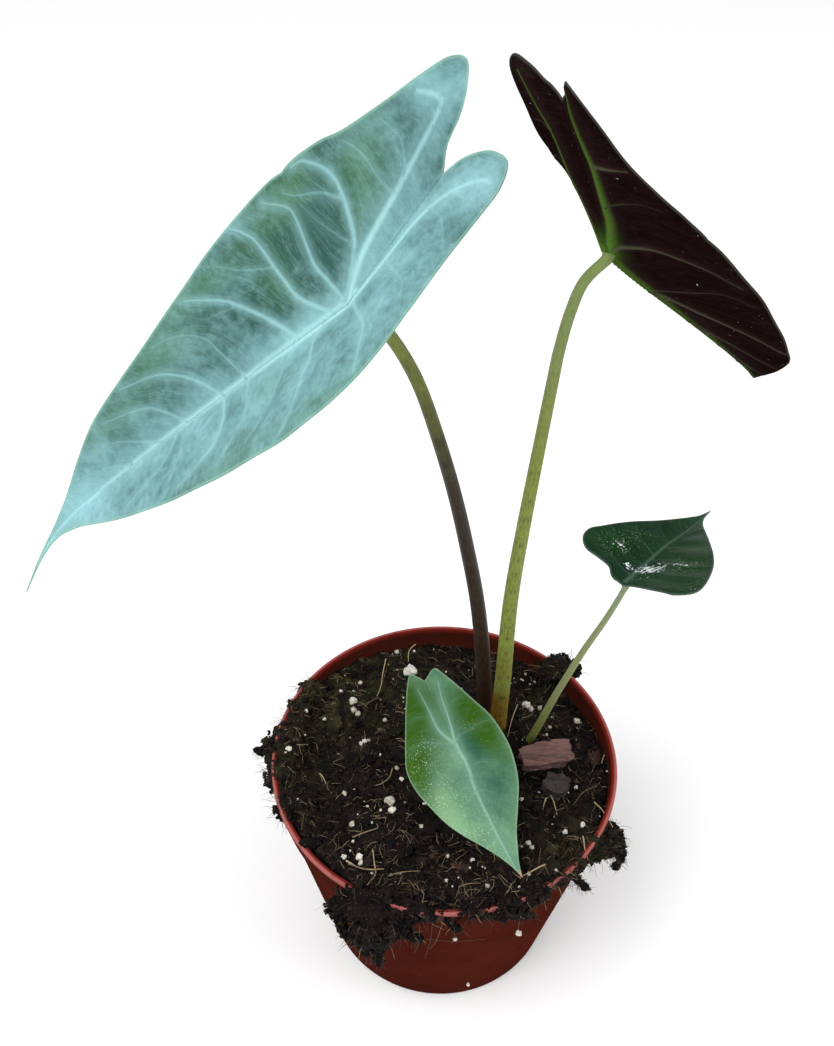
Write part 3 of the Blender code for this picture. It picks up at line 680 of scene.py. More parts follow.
def mesh_piece(name: str, points: np.ndarray, faces: list, finishes: list, marks: dict,
               indices: list | None = None, smooth: float = 60.0) -> Object:
    """Make a linked object from points and faces.

    Args:
        name: the object's name.
        points: its points, in metres.
        faces: the point numbers of each face.
        finishes: its materials.
        marks: a number for each point, under the name that the material reads.
        indices: the material number of each face.
        smooth: the angle under which neighbouring faces are shaded as one, in degrees.

    Returns:
        The object.
    """
    mesh = bpy.data.meshes.new(name)
    mesh.from_pydata(points.tolist(), [], faces)
    mesh.update()
    for finish in finishes:
        mesh.materials.append(finish)
    if indices is not None:
        mesh.polygons.foreach_set("material_index", indices)
    for label, values in marks.items():
        layer = mesh.attributes.new(label, "FLOAT", "POINT")
        layer.data.foreach_set("value", np.asarray(values, dtype=np.float32))
    mesh.shade_smooth()
    mesh.set_sharp_from_angle(angle=math.radians(smooth))
    piece = bpy.data.objects.new(name, mesh)
    bpy.context.scene.collection.objects.link(piece)
    return piece


def settle(piece: Object, slot: str, *nodes: str) -> None:
    """Let a piece ride on the part, hide the nodes that it stands for, and report it.

    Args:
        piece: the piece.
        slot: the record's material slot; not used.
        nodes: the CAD nodes that it replaces.
    """
    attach(piece, BODY)
    if nodes:
        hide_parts(*nodes)
    triangles = sum(len(face.vertices) - 2 for face in piece.data.polygons)
    LOG.info("%s: %d triangles", piece.name, triangles)


def smooth_curve(points: np.ndarray | tuple, step: float) -> np.ndarray:
    """Return a Catmull-Rom curve through the points.

    Args:
        points: the points, in rows.
        step: the distance between the curve's points.

    Returns:
        The curve's points.
    """
    points = np.array(points, dtype=float)
    ends = np.vstack([2 * points[0] - points[1], points, 2 * points[-1] - points[-2]])
    pieces = []
    for before, start, end, after in zip(ends, ends[1:], ends[2:], ends[3:]):
        count = max(1, round(float(np.linalg.norm(end - start)) / step))
        t = (np.arange(count) / count)[:, None]
        square = 2 * before - 5 * start + 4 * end - after
        cube = 3 * start - before - 3 * end + after
        pieces.append(0.5 * (2 * start + (end - before) * t + square * t**2 + cube * t**3))
    return np.vstack([*pieces, points[-1:]])


def distance_to(line: np.ndarray, points: np.ndarray) -> tuple:
    """Return how far points lie from a line of straight stretches.

    Args:
        line: the line's points.
        points: the points.

    Returns:
        The distances, and how far along the line each nearest place is, 0 to 1.
    """
    best = np.full(len(points), 1e9)
    share = np.zeros(len(points))
    steps = len(line) - 1
    for index in range(steps):
        start, way = line[index], line[index + 1] - line[index]
        t = np.clip((points - start) @ way / max(float(way @ way), 1e-12), 0, 1)
        distance = np.linalg.norm(points - start - t[:, None] * way, axis=1)
        nearer = distance < best
        best = np.where(nearer, distance, best)
        share = np.where(nearer, (index + t) / steps, share)
    return best, share


def inside(points: np.ndarray, outline: np.ndarray) -> np.ndarray:
    """Tell which flat points lie inside a closed outline.

    Args:
        points: the points.
        outline: the outline's points.

    Returns:
        True or False for each point.
    """
    found = np.zeros(len(points), dtype=bool)
    for (x1, y1), (x2, y2) in zip(outline, np.roll(outline, -1, axis=0)):
        if y1 == y2:
            continue
        crosses = (y1 > points[:, 1]) != (y2 > points[:, 1])
        found ^= crosses & (points[:, 0] < (x2 - x1) * (points[:, 1] - y1) / (y2 - y1) + x1)
    return found


def staggered_net(columns: np.ndarray, rows: np.ndarray, step: float) -> np.ndarray:
    """Return flat points in rows, with every second row moved half a step across.

    Args:
        columns: the places across.
        rows: the places along.
        step: the distance between the columns.

    Returns:
        The points.
    """
    net = []
    for index, along in enumerate(rows):
        net.append(np.stack([columns + (index % 2) * step / 2, np.full(len(columns), along)], 1))
    return np.vstack(net)


def fill_outline(points: np.ndarray, count: int) -> tuple:
    """Fill a closed flat outline with triangles.

    Args:
        points: the outline's points and then the points inside it.
        count: how many are the outline's.

    Returns:
        The points and the faces.
    """
    loop = list(range(count))
    edges = list(zip(loop, loop[1:] + loop[:1]))
    spots = [Vector(point) for point in points.tolist()]
    only_inside, merging = 1, 1e-5
    made, _, faces, _, _, _ = delaunay_2d_cdt(spots, edges, [loop], only_inside, merging)
    return np.array([tuple(point) for point in made]), [tuple(face) for face in faces]


def open_edges(faces: list) -> list:
    """Return the edges that only one face has, each as the numbers of its two points."""
    edges = {(a, b) for face in faces for a, b in zip(face, face[1:] + face[:1])}
    return [edge for edge in edges if edge[::-1] not in edges]


def sweep(course: np.ndarray, radii: np.ndarray, sides: int, frame: tuple) -> tuple:
    """Sweep a round section along a centre line, open at both ends.

    Args:
        course: the centre line's points.
        radii: a row for each of them, with one radius or one for each side.
        sides: how many sides the section has.
        frame: roughly where the first side of each ring looks.

    Returns:
        The points, ring by ring, and the faces between the rings.
    """
    turns = np.linspace(0, 2 * math.pi, sides, endpoint=False)[:, None]
    first = np.array(frame)
    rings = []
    for index, centre in enumerate(course):
        ahead = course[min(index + 1, len(course) - 1)] - course[max(index - 1, 0)]
        ahead = ahead / max(np.linalg.norm(ahead), 1e-9)
        first = first - (first @ ahead) * ahead
        first = first / max(np.linalg.norm(first), 1e-9)
        section = np.cos(turns) * first + np.sin(turns) * np.cross(ahead, first)
        rings.append(centre + radii[index][:, None] * section)
    faces = []
    for low in range(0, (len(course) - 1) * sides, sides):
        for turn in range(sides):
            after = (turn + 1) % sides
            faces.append((low + turn, low + after, low + sides + after, low + sides + turn))
    return np.vstack(rings), faces


@dataclass(frozen=True)
class BladeForm:
    """How one blade is cut, folded, bent and placed, within about a millimetre of its solid.

    The edges run from the notch between the rear lobes to the tip. The folds are radians, and curl, bend and
    twist are radians for each millimetre.
    """

    junction: tuple
    face: tuple
    tip: tuple
    right_edge: tuple
    left_edge: tuple
    fold_right: float
    fold_left: float
    curl: float
    bend: float
    rear_bend: float
    twist: float = 0.0
    rear_twist: float = 0.0
    lobe_fold_right: float = 0.0
    lobe_fold_left: float = 0.0
    tip_fold_right: float = 0.0
    tip_fold_left: float = 0.0
    lobe_yaw: float = 0.0
    lobe_sweep: float = 0.0
    droop: float = 0.0
    droop_start: float = 0.5
    rear_lift: float = 0.0
    sway: float = 0.0
    sway_start: float = 0.0


LEFT_FORM = BladeForm(
    junction=(-26.5, -22.1, 291.0), face=(-0.618, -0.393, 0.681), tip=(-0.752, 0.042, -0.658),
    right_edge=((0, -31), (3.6, -34.5), (5.7, -40), (8.5, -44), (12.2, -46.6), (15.6, -43.8), (18.2, -37),
                (21.0, -28.4), (25.3, -17.9), (29.8, -10.5), (34.0, -0.8), (33.3, 9), (29.2, 25.3),
                (25.5, 37.3), (21.9, 49.7), (18.4, 63.3), (14.7, 77.4), (9.3, 90.1), (3.6, 103),
                (1.0, 114), (0, 130)),
    left_edge=((0, -31), (2.2, -36.4), (6.1, -41.4), (9.8, -44.2), (13.4, -45.2), (16.9, -42),
               (18.8, -35.8), (21.5, -25.3), (25.1, -17.4), (29.6, -9.4), (32.4, 1), (31.4, 14),
               (28.6, 27), (25.6, 39), (21.7, 53.5), (16.5, 71), (10.5, 88), (4.4, 103), (1.1, 114),
               (0, 130)),
    fold_right=0.465, fold_left=0.465, curl=0.0027, bend=0.0006, rear_bend=0.0026, twist=0.0043,
    rear_twist=-0.0033, lobe_fold_right=0.222, lobe_fold_left=-0.278, lobe_yaw=-0.489, droop=0.2,
    droop_start=0.75, sway=-0.010, sway_start=98)

RIGHT_FORM = BladeForm(
    junction=(32.1, -8.8, 297.2), face=(0.187, 0.953, 0.239), tip=(0.732, 0.027, -0.681),
    right_edge=((0, -39.7), (3.4, -42.4), (5.4, -43.5), (8.1, -46.9), (11.6, -49.5), (14.8, -46.5),
                (17.3, -39.3), (19.9, -30.2), (24, -19), (28.1, -11.2), (31.1, -0.8), (31.1, 7.4),
                (27.5, 20.7), (24, 30.6), (20.6, 40.7), (17.2, 51.9), (13.9, 63.4), (8.8, 73.8),
                (4, 84.4), (1.5, 91.8), (0, 98.3)),
    left_edge=((0, -39.7), (3.6, -42.4), (5.7, -43.5), (8.6, -46.9), (12.3, -49.5), (15.8, -46.5),
               (18.5, -39.3), (21.5, -30.2), (25.9, -19), (30.6, -11.2), (34, -0.8), (34, 7.4),
               (30.1, 20.7), (26.3, 30.6), (22.6, 40.7), (19, 51.9), (15.2, 63.4), (9.6, 73.8),
               (4.3, 84.4), (1.6, 91.8), (0, 98.3)),
    fold_right=-0.435, fold_left=1.245, curl=0.0029, bend=-0.0081, rear_bend=0.0003, rear_lift=-0.153,
    twist=-0.0047, rear_twist=0.0283, lobe_fold_right=0.669, lobe_fold_left=-1.554, tip_fold_right=0.504,
    tip_fold_left=-0.009, lobe_yaw=-0.553, lobe_sweep=0.021, droop=-0.030, sway=-0.0036, sway_start=15)

SMALL_FORM = BladeForm(
    junction=(50.8, -4.0, 184.8), face=(-0.009, 0.292, 0.954), tip=(0.564, 0.795, -0.231),
    right_edge=((0, -2.5), (5.7, -4.2), (12.8, -6.4), (18.7, -7.2), (23.8, -5.2), (24.6, 1), (22.3, 11.5),
                (18.7, 21), (11.7, 34.5), (4.7, 47.2), (1.2, 56), (0, 64.8)),
    left_edge=((0, -2.5), (4.4, -0.8), (7.4, 2.6), (11.5, 3.6), (16.6, 4.6), (20.2, 9.2), (20.8, 15),
               (18.8, 20), (16.5, 25), (12.2, 33.3), (7.2, 42.7), (3.2, 51.6), (1.2, 56.9), (0, 64.8)),
    fold_right=0.327, fold_left=0.327, curl=0.0035, bend=0.0015, rear_bend=-0.0016, twist=-0.0002)

FRONT_FORM = BladeForm(
    junction=(3.0, -11.5, 114.1), face=(-0.401, -0.543, 0.738), tip=(0.428, -0.823, -0.373),
    right_edge=((0, -23.5), (1.8, -26), (3.8, -27.8), (6.2, -25), (9.1, -19.8), (12.6, -13), (16.6, -4.6),
                (18.6, 1), (18.4, 7.6), (16.5, 14.3), (13.9, 21.3), (10.8, 26.9), (6.4, 33.3),
                (3.3, 38.5), (1.2, 43), (0, 47)),
    left_edge=((0, -23.5), (2.6, -24.6), (5.6, -25.4), (8.2, -21), (10.6, -16.5), (13.8, -9.4),
               (16.9, -1.9), (18.2, 6.4), (17.6, 12.6), (15, 20.1), (10.8, 26.7), (6.2, 33.1),
               (3.2, 38.7), (1.2, 43), (0, 47)),
    fold_right=0.271, fold_left=0.275, curl=0.0038, bend=0.0032, rear_bend=-0.0010, twist=0.0013)


class LeafSheet:
    """The curved sheet that a flat blade is laid on."""

    KEEL = 1.2
    LOBE_REACH = 40.0
    LIFT_REACH = 8.0

    def __init__(self, form: BladeForm) -> None:
        """Work out the blade's run and fall along its midrib, and its turn in space."""
        self.form = form
        self.length = form.right_edge[-1][1]
        self.rear = min(v for _, v in form.right_edge + form.left_edge)
        self.along = np.linspace(self.rear - 2, self.length + 2, 240)
        past = np.maximum(self.along / self.length - form.droop_start, 0) / (1 - form.droop_start)
        rearward = np.minimum(self.along, 0)
        lift = form.rear_lift * (1 - np.exp(rearward / self.LIFT_REACH))
        self.slope = np.where(self.along > 0, form.bend * np.maximum(self.along, 0) + form.droop * past**2,
                              form.rear_bend * rearward + lift)
        step = self.along[1] - self.along[0]
        run = np.cumsum(np.cos(self.slope)) * step
        fall = -np.cumsum(np.sin(self.slope)) * step
        self.run = run - np.interp(0, self.along, run)
        self.fall = fall - np.interp(0, self.along, fall)
        tip_axis = np.array(form.tip) / np.linalg.norm(form.tip)
        face_axis = np.array(form.face) - (np.array(form.face) @ tip_axis) * tip_axis
        face_axis /= np.linalg.norm(face_axis)
        self.turn = np.stack([np.cross(tip_axis, face_axis), tip_axis, face_axis], 1)
        self.sides = {+1: self._edge(form.right_edge), -1: self._edge(form.left_edge)}

    @staticmethod
    def _edge(points: tuple) -> np.ndarray:
        """Return one edge as a smooth flat curve that doesn't cross the midrib."""
        curve = smooth_curve(points, 0.8)
        curve[1:-1, 0] = np.maximum(curve[1:-1, 0], 0.15)
        return curve

    def outline(self) -> np.ndarray:
        """Return the closed outline, down the right edge and back up the left one."""
        left = self.sides[-1] * (-1, 1)
        return np.vstack([self.sides[+1], left[-2:0:-1]])

    def half_width(self, u: np.ndarray, v: np.ndarray) -> np.ndarray:
        """Return how far the outer edge lies from the midrib, on each point's own side."""
        result = np.zeros(len(u))
        for side, edge in self.sides.items():
            outer = edge[int(np.argmin(edge[:, 1])):]
            result = np.where(u * side >= 0, np.interp(v, outer[:, 1], outer[:, 0]), result)
        return result

    def places(self, u: np.ndarray, v: np.ndarray, lift: float = 0.0) -> np.ndarray:
        """Return the places of flat points.

        Args:
            u: how far each lies across, in millimetres.
            v: how far each lies along, in millimetres.
            lift: how far over the sheet they stand, in millimetres.

        Returns:
            The places, in millimetres.
        """
        form = self.form
        lobe = np.clip(-v / self.LOBE_REACH, 0, 1.5)
        tip_share = np.clip(v / self.length, 0, 1)
        right = u > 0
        fold = np.where(right, form.fold_right, form.fold_left)
        fold = fold + lobe * np.where(right, form.lobe_fold_right, form.lobe_fold_left)
        fold = fold + tip_share * np.where(right, form.tip_fold_right, form.tip_fold_left)
        rounded = np.hypot(u, self.KEEL) - self.KEEL
        x = np.sign(u) * (np.sin(fold) - np.sin(fold - form.curl * np.abs(u))) / form.curl
        height = (np.cos(fold - form.curl * rounded) - np.cos(fold)) / form.curl + lift
        twist = form.twist * np.maximum(v, 0) + form.rear_twist * np.minimum(v, 0)
        x, height = (x * np.cos(twist) - height * np.sin(twist), x * np.sin(twist) + height * np.cos(twist))
        rear = np.minimum(v, 0)
        x = x + form.lobe_yaw * rear - form.lobe_sweep * rear**2 / 50
        x = x + form.sway * np.maximum(v - form.sway_start, 0) ** 2
        slope = np.interp(v, self.along, self.slope)
        y = np.interp(v, self.along, self.run) + height * np.sin(slope)
        z = np.interp(v, self.along, self.fall) + height * np.cos(slope)
        return np.array(form.junction) + np.stack([x, y, z], 1) @ self.turn.T

    def normals(self, u: np.ndarray, v: np.ndarray) -> np.ndarray:
        """Return the upper face's normals at flat points."""
        across = self.places(u + 0.6, v) - self.places(u - 0.6, v)
        along = self.places(u, v + 0.6) - self.places(u, v - 0.6)
        normal = np.cross(across, along)
        return normal / np.linalg.norm(normal, axis=1)[:, None]


@dataclass(frozen=True)
class Vein:
    """A vein's flat course in millimetres, and its half width at its root and at its end."""

    course: tuple
    root: float
    end: float
    is_rib: bool = False
    glow: float = 3.0


@dataclass(frozen=True)
class Patch:
    """A soft flat patch of another tone: centre, reach across and along, and how strong it is."""

    u: float
    v: float
    across: float
    along: float
    strength: float

    def at(self, u: np.ndarray, v: np.ndarray) -> np.ndarray:
        """Return how strong the patch is at flat points."""
        distance = ((u - self.u) / self.across) ** 2 + ((v - self.v) / self.along) ** 2
        return self.strength * np.exp(-distance)


def veins(*rows: tuple) -> tuple:
    """Return a blade's veins, each row with the values of one."""
    return tuple(Vein(*row) for row in rows)


def patches(*rows: tuple) -> tuple:
    """Return a blade's patches, each row with the values of one."""
    return tuple(Patch(*row) for row in rows)


LEFT_VEINS = veins(
    (((0, 1), (4.5, -7.6), (7, -23), (10, -36.6), (12, -38), (16.5, -35)), 0.95, 0.4, True, 4.0),
    (((-0.5, -1), (-2, -11.6), (-2.5, -21.6), (-5.5, -30.6), (-11, -38.6), (-14, -40.6)), 0.8, 0.35,
         True, 4.0),
    (((1, 0), (6, -6), (11, -9), (21, -10.6), (29.5, -6.6), (32.5, -2.6)), 0.75, 0.2),
    (((16, -10), (21.5, -6.6), (26, -2), (30, 1.9)), 0.35, 0.15),
    (((8, -7), (15, -4.1), (20, -2.1), (25.5, -0.6)), 0.25, 0.12),
    (((0, 0), (7.5, 1.9), (12.5, 2.9), (22, 1.9), (26.5, 2.4), (31, 7.4)), 0.55, 0.18),
    (((0, 4), (7.5, 9.9), (13.5, 11.4), (24, 12.9), (28, 14.9), (31.5, 17.9)), 0.6, 0.2),
    (((17, 12), (21, 19.4), (24, 22.9), (26.5, 26.4)), 0.28, 0.14),
    (((0, 15), (8.5, 19.9), (14, 23.9), (17.5, 26.9), (21, 31.9), (23.5, 36.4)), 0.6, 0.2),
    (((15, 25), (17, 33.4), (18.5, 35.9)), 0.25, 0.12),
    (((0, 33), (9, 35.4), (13.5, 36.9), (17, 40.9), (19, 45.9), (19.5, 50.4)), 0.32, 0.14),
    (((0, 41), (7, 45.4), (11, 49.4), (14, 54.4), (16.5, 64.9)), 0.5, 0.18),
    (((0, 54), (6.5, 58.9), (9.5, 62.9), (12.5, 74.4)), 0.42, 0.15),
    (((0, 64), (4, 70.4), (7, 75.4), (9, 81.9)), 0.35, 0.14),
    (((0, 76), (3, 82), (5, 89), (6, 94)), 0.28, 0.12),
    (((0, 7), (-4, 10.4), (-10, 10.9), (-15, 12.9), (-22, 14.9), (-28.5, 19.4)), 0.5, 0.18),
    (((0, 17), (-9.5, 21.4), (-15.5, 24.4), (-21.5, 31.4)), 0.35, 0.14),
    (((0, 33), (-9, 32.4), (-14, 34.4), (-20.5, 42)), 0.35, 0.14),
    (((0, 41), (-7.5, 40.9), (-12.5, 42.9), (-15.5, 48.4), (-17.5, 58.4)), 0.55, 0.18),
    (((0, 50), (-5, 55.9), (-8.5, 57.9), (-13, 66)), 0.3, 0.12),
    (((0, 58), (-5.5, 62.4), (-8.5, 69.9), (-10.5, 79.4)), 0.42, 0.15),
    (((0, 70), (-2, 75.9), (-4, 83.4), (-6.5, 91)), 0.32, 0.12),
    (((0, -1), (-8, -3.6), (-16, -6.1), (-20, -5.6), (-29, -4)), 0.55, 0.2),
    (((-2.5, -25), (-7.5, -27.6), (-12, -28.1), (-18, -27.1)), 0.3, 0.14),
    (((-2, -12), (-11.5, -15.6), (-16.5, -16.6), (-22, -14.1)), 0.35, 0.14),
    (((7.5, -24.1), (10.5, -26.1), (13.5, -27.1), (19.5, -25.6)), 0.3, 0.14),
    (((6.5, -20.5), (11.5, -19.1), (18.5, -18.6), (24.5, -16.1)), 0.32, 0.14),
    (((9, -34), (12, -35.6), (15.5, -33)), 0.22, 0.12),
    (((-6, -31), (-10, -33.6), (-15.5, -34)), 0.22, 0.12),
    (((0, -2), (0, 30), (0.3, 60), (0, 90), (0, 125)), 1.35, 0.3, True, 4.5),
)

RIGHT_VEINS = veins(
    (((1, -0.5), (3.4, -7.6), (3.9, -12.4), (4.3, -17.6), (5.2, -24.8), (5.1, -30), (5.3, -35),
          (6.2, -40), (8, -46)), 1.5, 0.45, True, 3.0),
    (((-0.8, -1), (-3.4, -6), (-6.3, -11), (-8.8, -16.5), (-8.8, -23), (-8.8, -28), (-9.6, -32),
          (-11.4, -36.5), (-12.3, -46)), 0.75, 0.3, True, 3.0),
    (((5.4, -25), (9, -25.2), (12.2, -25.6), (19, -27.2)), 0.6, 0.2),
    (((2, -1), (7, -0.8), (13.8, 0.8), (18.6, 4.4), (22.2, 8), (24.4, 11), (26.5, 16.5)), 0.55, 0.2),
    (((0.3, 15.3), (6.6, 16.8), (11.4, 17.6), (19, 18.8), (23.5, 24.5)), 0.34, 0.15),
    (((0, 14.5), (2.2, 20.8), (4.2, 25.6), (6.6, 30.4), (11, 39.2), (13.8, 47.2), (15.8, 55)), 0.6, 0.3),
    (((0, 30.5), (1.4, 40), (3.8, 50), (6.2, 61), (8.6, 71.5)), 0.45, 0.2),
    (((0, 49), (0.8, 64), (2.8, 79)), 0.4, 0.15),
    (((3.9, -13), (10, -14.5), (17, -15), (23, -13.5)), 0.3, 0.12),
    (((-8.9, -20), (-14, -20.5), (-19, -18.5), (-23, -15)), 0.35, 0.14),
    (((-9.2, -30), (-13, -31.5), (-18, -30.5)), 0.3, 0.14),
    (((-4.5, -8), (-12, -9.5), (-20, -8), (-29, -4)), 0.4, 0.16),
    (((-1, 0), (-8, 1), (-15, 4), (-22, 9), (-28, 16)), 0.5, 0.16),
    (((0, 14.5), (-6, 20), (-12, 28), (-17, 38), (-19.5, 46)), 0.5, 0.16),
    (((0, 30.5), (-5, 38), (-10, 49), (-13.5, 60)), 0.42, 0.14),
    (((0, 46), (-4, 54), (-7, 64), (-9, 72)), 0.34, 0.12),
    (((0, 60), (-3, 68), (-5, 77), (-5, 81)), 0.28, 0.1),
    (((0, -2), (0, 20), (0, 45), (0, 70), (0, 97)), 1.0, 0.3, True, 3.0),
)

SMALL_VEINS = veins(
    (((0, 0), (0, 15), (0, 30), (0.8, 45), (0.3, 63)), 0.75, 0.2, True),
    (((0, 20), (-6, 23.8), (-10, 27.3), (-13, 32)), 0.3, 0.12),
    (((0, 17), (6, 16.8), (13.5, 14.8), (20, 16)), 0.32, 0.12),
    (((0, 4), (-5.5, 5.8), (-11.5, 9.8), (-19, 14.5)), 0.3, 0.12),
    (((0, 2), (7, 2), (14, 0), (21.5, -1)), 0.32, 0.12),
    (((0, 10), (8, 10), (15, 8), (22, 9)), 0.22, 0.1),
    (((0, 27), (6, 28), (11, 28), (15, 27.5)), 0.25, 0.1),
    (((0, 36), (4, 38), (7.5, 40), (8, 41)), 0.22, 0.1),
    (((0, 31), (-4, 34), (-8, 39)), 0.22, 0.1),
    (((0, 41), (-3, 45), (-4.5, 49)), 0.2, 0.1),
    (((0, 12), (-6, 14), (-12, 18), (-17, 23)), 0.22, 0.1),
)

FRONT_VEINS = veins(
    (((0, -1), (-0.5, 8.2), (0.5, 16), (0.8, 30), (0.5, 46)), 0.7, 0.25, True, 3.6),
    (((0, 0), (3, -6.8), (3.2, -14.8), (3.6, -22)), 0.5, 0.15, True, 1.6),
    (((0, 0), (-2, -8.8), (-2.8, -15), (-4.5, -21)), 0.5, 0.15, True, 1.6),
    (((0, -0.5), (-3, -1.8), (-7.5, -1.8), (-13, -1.8), (-16.5, -0.8)), 0.32, 0.12),
    (((-0.5, 8.2), (-6, 9.2), (-10.5, 11.7), (-14, 16)), 0.3, 0.12),
    (((0, 0), (5, -2.8), (9, -5.3), (14, -5)), 0.34, 0.12),
    (((0.5, 16), (4, 18), (7.5, 21.7), (10, 26)), 0.26, 0.1),
    (((-0.3, 6), (5, 6), (10.5, 8), (16, 12)), 0.3, 0.12),
    (((0, 16), (-5, 19.5), (-9, 25)), 0.24, 0.1),
    (((0.7, 25), (3.5, 28), (5.5, 32)), 0.22, 0.1),
    (((0.6, 25), (-3, 28), (-5, 32)), 0.22, 0.1),
    (((3.2, -12), (7, -13.5), (10.5, -13)), 0.22, 0.1),
    (((-2.6, -12), (-6, -13), (-9.5, -12.5)), 0.22, 0.1),
)

# The silver blade's paler and darker patches: partly its own tone, partly painted sheen and painted shade.
LEFT_TONE_SHEEN_AND_SHADE = patches(
    (18, 0, 14, 18, -0.42), (16, 28, 11, 22, -0.2), (8, 55, 6, 20, -0.12), (7, -17, 5, 9, -0.25),
    (16, -30, 8, 8, -0.12), (-14, 5, 14, 36, 0.24), (-8, 55, 10, 30, 0.2), (10, -39, 8, 8, 0.1),
    (-10, -36, 9, 10, 0.14), (-9, 3, 6, 10, -0.12), (-6, 38, 6, 6, -0.14), (0, 100, 10, 18, 0.35),
    (1, 7, 5, 11, 0.35))
LEFT_GREEN = patches(
    (19, -18, 6, 8, 0.45), (29, 6, 6, 9, 0.4), (30, -3, 5, 6, 0.35), (14, 13, 7, 6, 0.3),
    (18, 51, 6, 12, 0.45), (24, 30, 4, 14, 0.4), (12, 72, 4, 12, 0.35), (11, -15, 5, 7, 0.35),
    (-30, 8, 4, 18, 0.3), (-24, 40, 5, 18, 0.35), (-10, 24, 5, 7, 0.25), (0, 128, 3, 9, 0.6))
RIGHT_GREEN = patches((0.6, -2, 3.2, 4, 1.0))
RIGHT_DUST = patches((8, 88, 8, 6, 0.9), (0, 94, 6, 5, 0.9))
FRONT_GREEN = patches(
    (11, -12, 8, 12, 1.0), (16, -1, 6, 8, 0.9), (7, -20, 5, 6, 0.9), (-13, 2, 6, 8, 1.0),
    (-10, -9, 6, 8, 1.0), (16, 9, 4, 8, 0.5), (-15, 13, 4, 7, 0.3), (3, -18, 4, 6, 0.35))
FRONT_LIGHT = patches(
    (12.5, 17, 6, 8, 0.5), (1, 36, 8, 9, 0.2), (9, 27, 5, 6, 0.25), (1, 4, 4, 6, 0.3),
    (-5, 17, 8, 10, -0.25), (-7, 2.5, 5, 5, -0.5))
FRONT_DUST = patches(
    (9, -4, 5, 4, 0.7), (14, -1, 5, 4, 0.7), (11, 12, 8, 11, 1.0), (5, 30, 7, 9, 1.0),
    (-7, -3, 4, 3, 0.7), (1, 3, 2, 3, 0.8))
SMALL_GREEN = patches((16, 12, 9, 16, 0.8), (8, 35, 8, 14, 0.6), (-14, 14, 8, 8, 0.5))
SMALL_LIGHT = patches(
    (8, 8, 9, 9, 0.1), (-24, 9, 5, 8, 0.4), (24, -2, 4, 8, 0.25), (0, 58, 5, 8, 0.4))
SMALL_DUST = patches(
    (-11, 15, 6, 7, 1.0), (-8, 26, 4, 4, 0.7), (12, 12, 7, 6, 1.0), (24, -2, 4, 6, 1.0))
SMALL_WET = patches(
    (3.8, 9, 5, 4.5, 1.0), (-3, 7.3, 2, 1.6, 0.9), (12, 12.8, 5, 1.2, 0.8), (-10, 15, 2.5, 3, 0.75))


class Face(Enum):
    """A blade's two faces, in the order of their materials."""

    UPPER = 0
    LOWER = 1


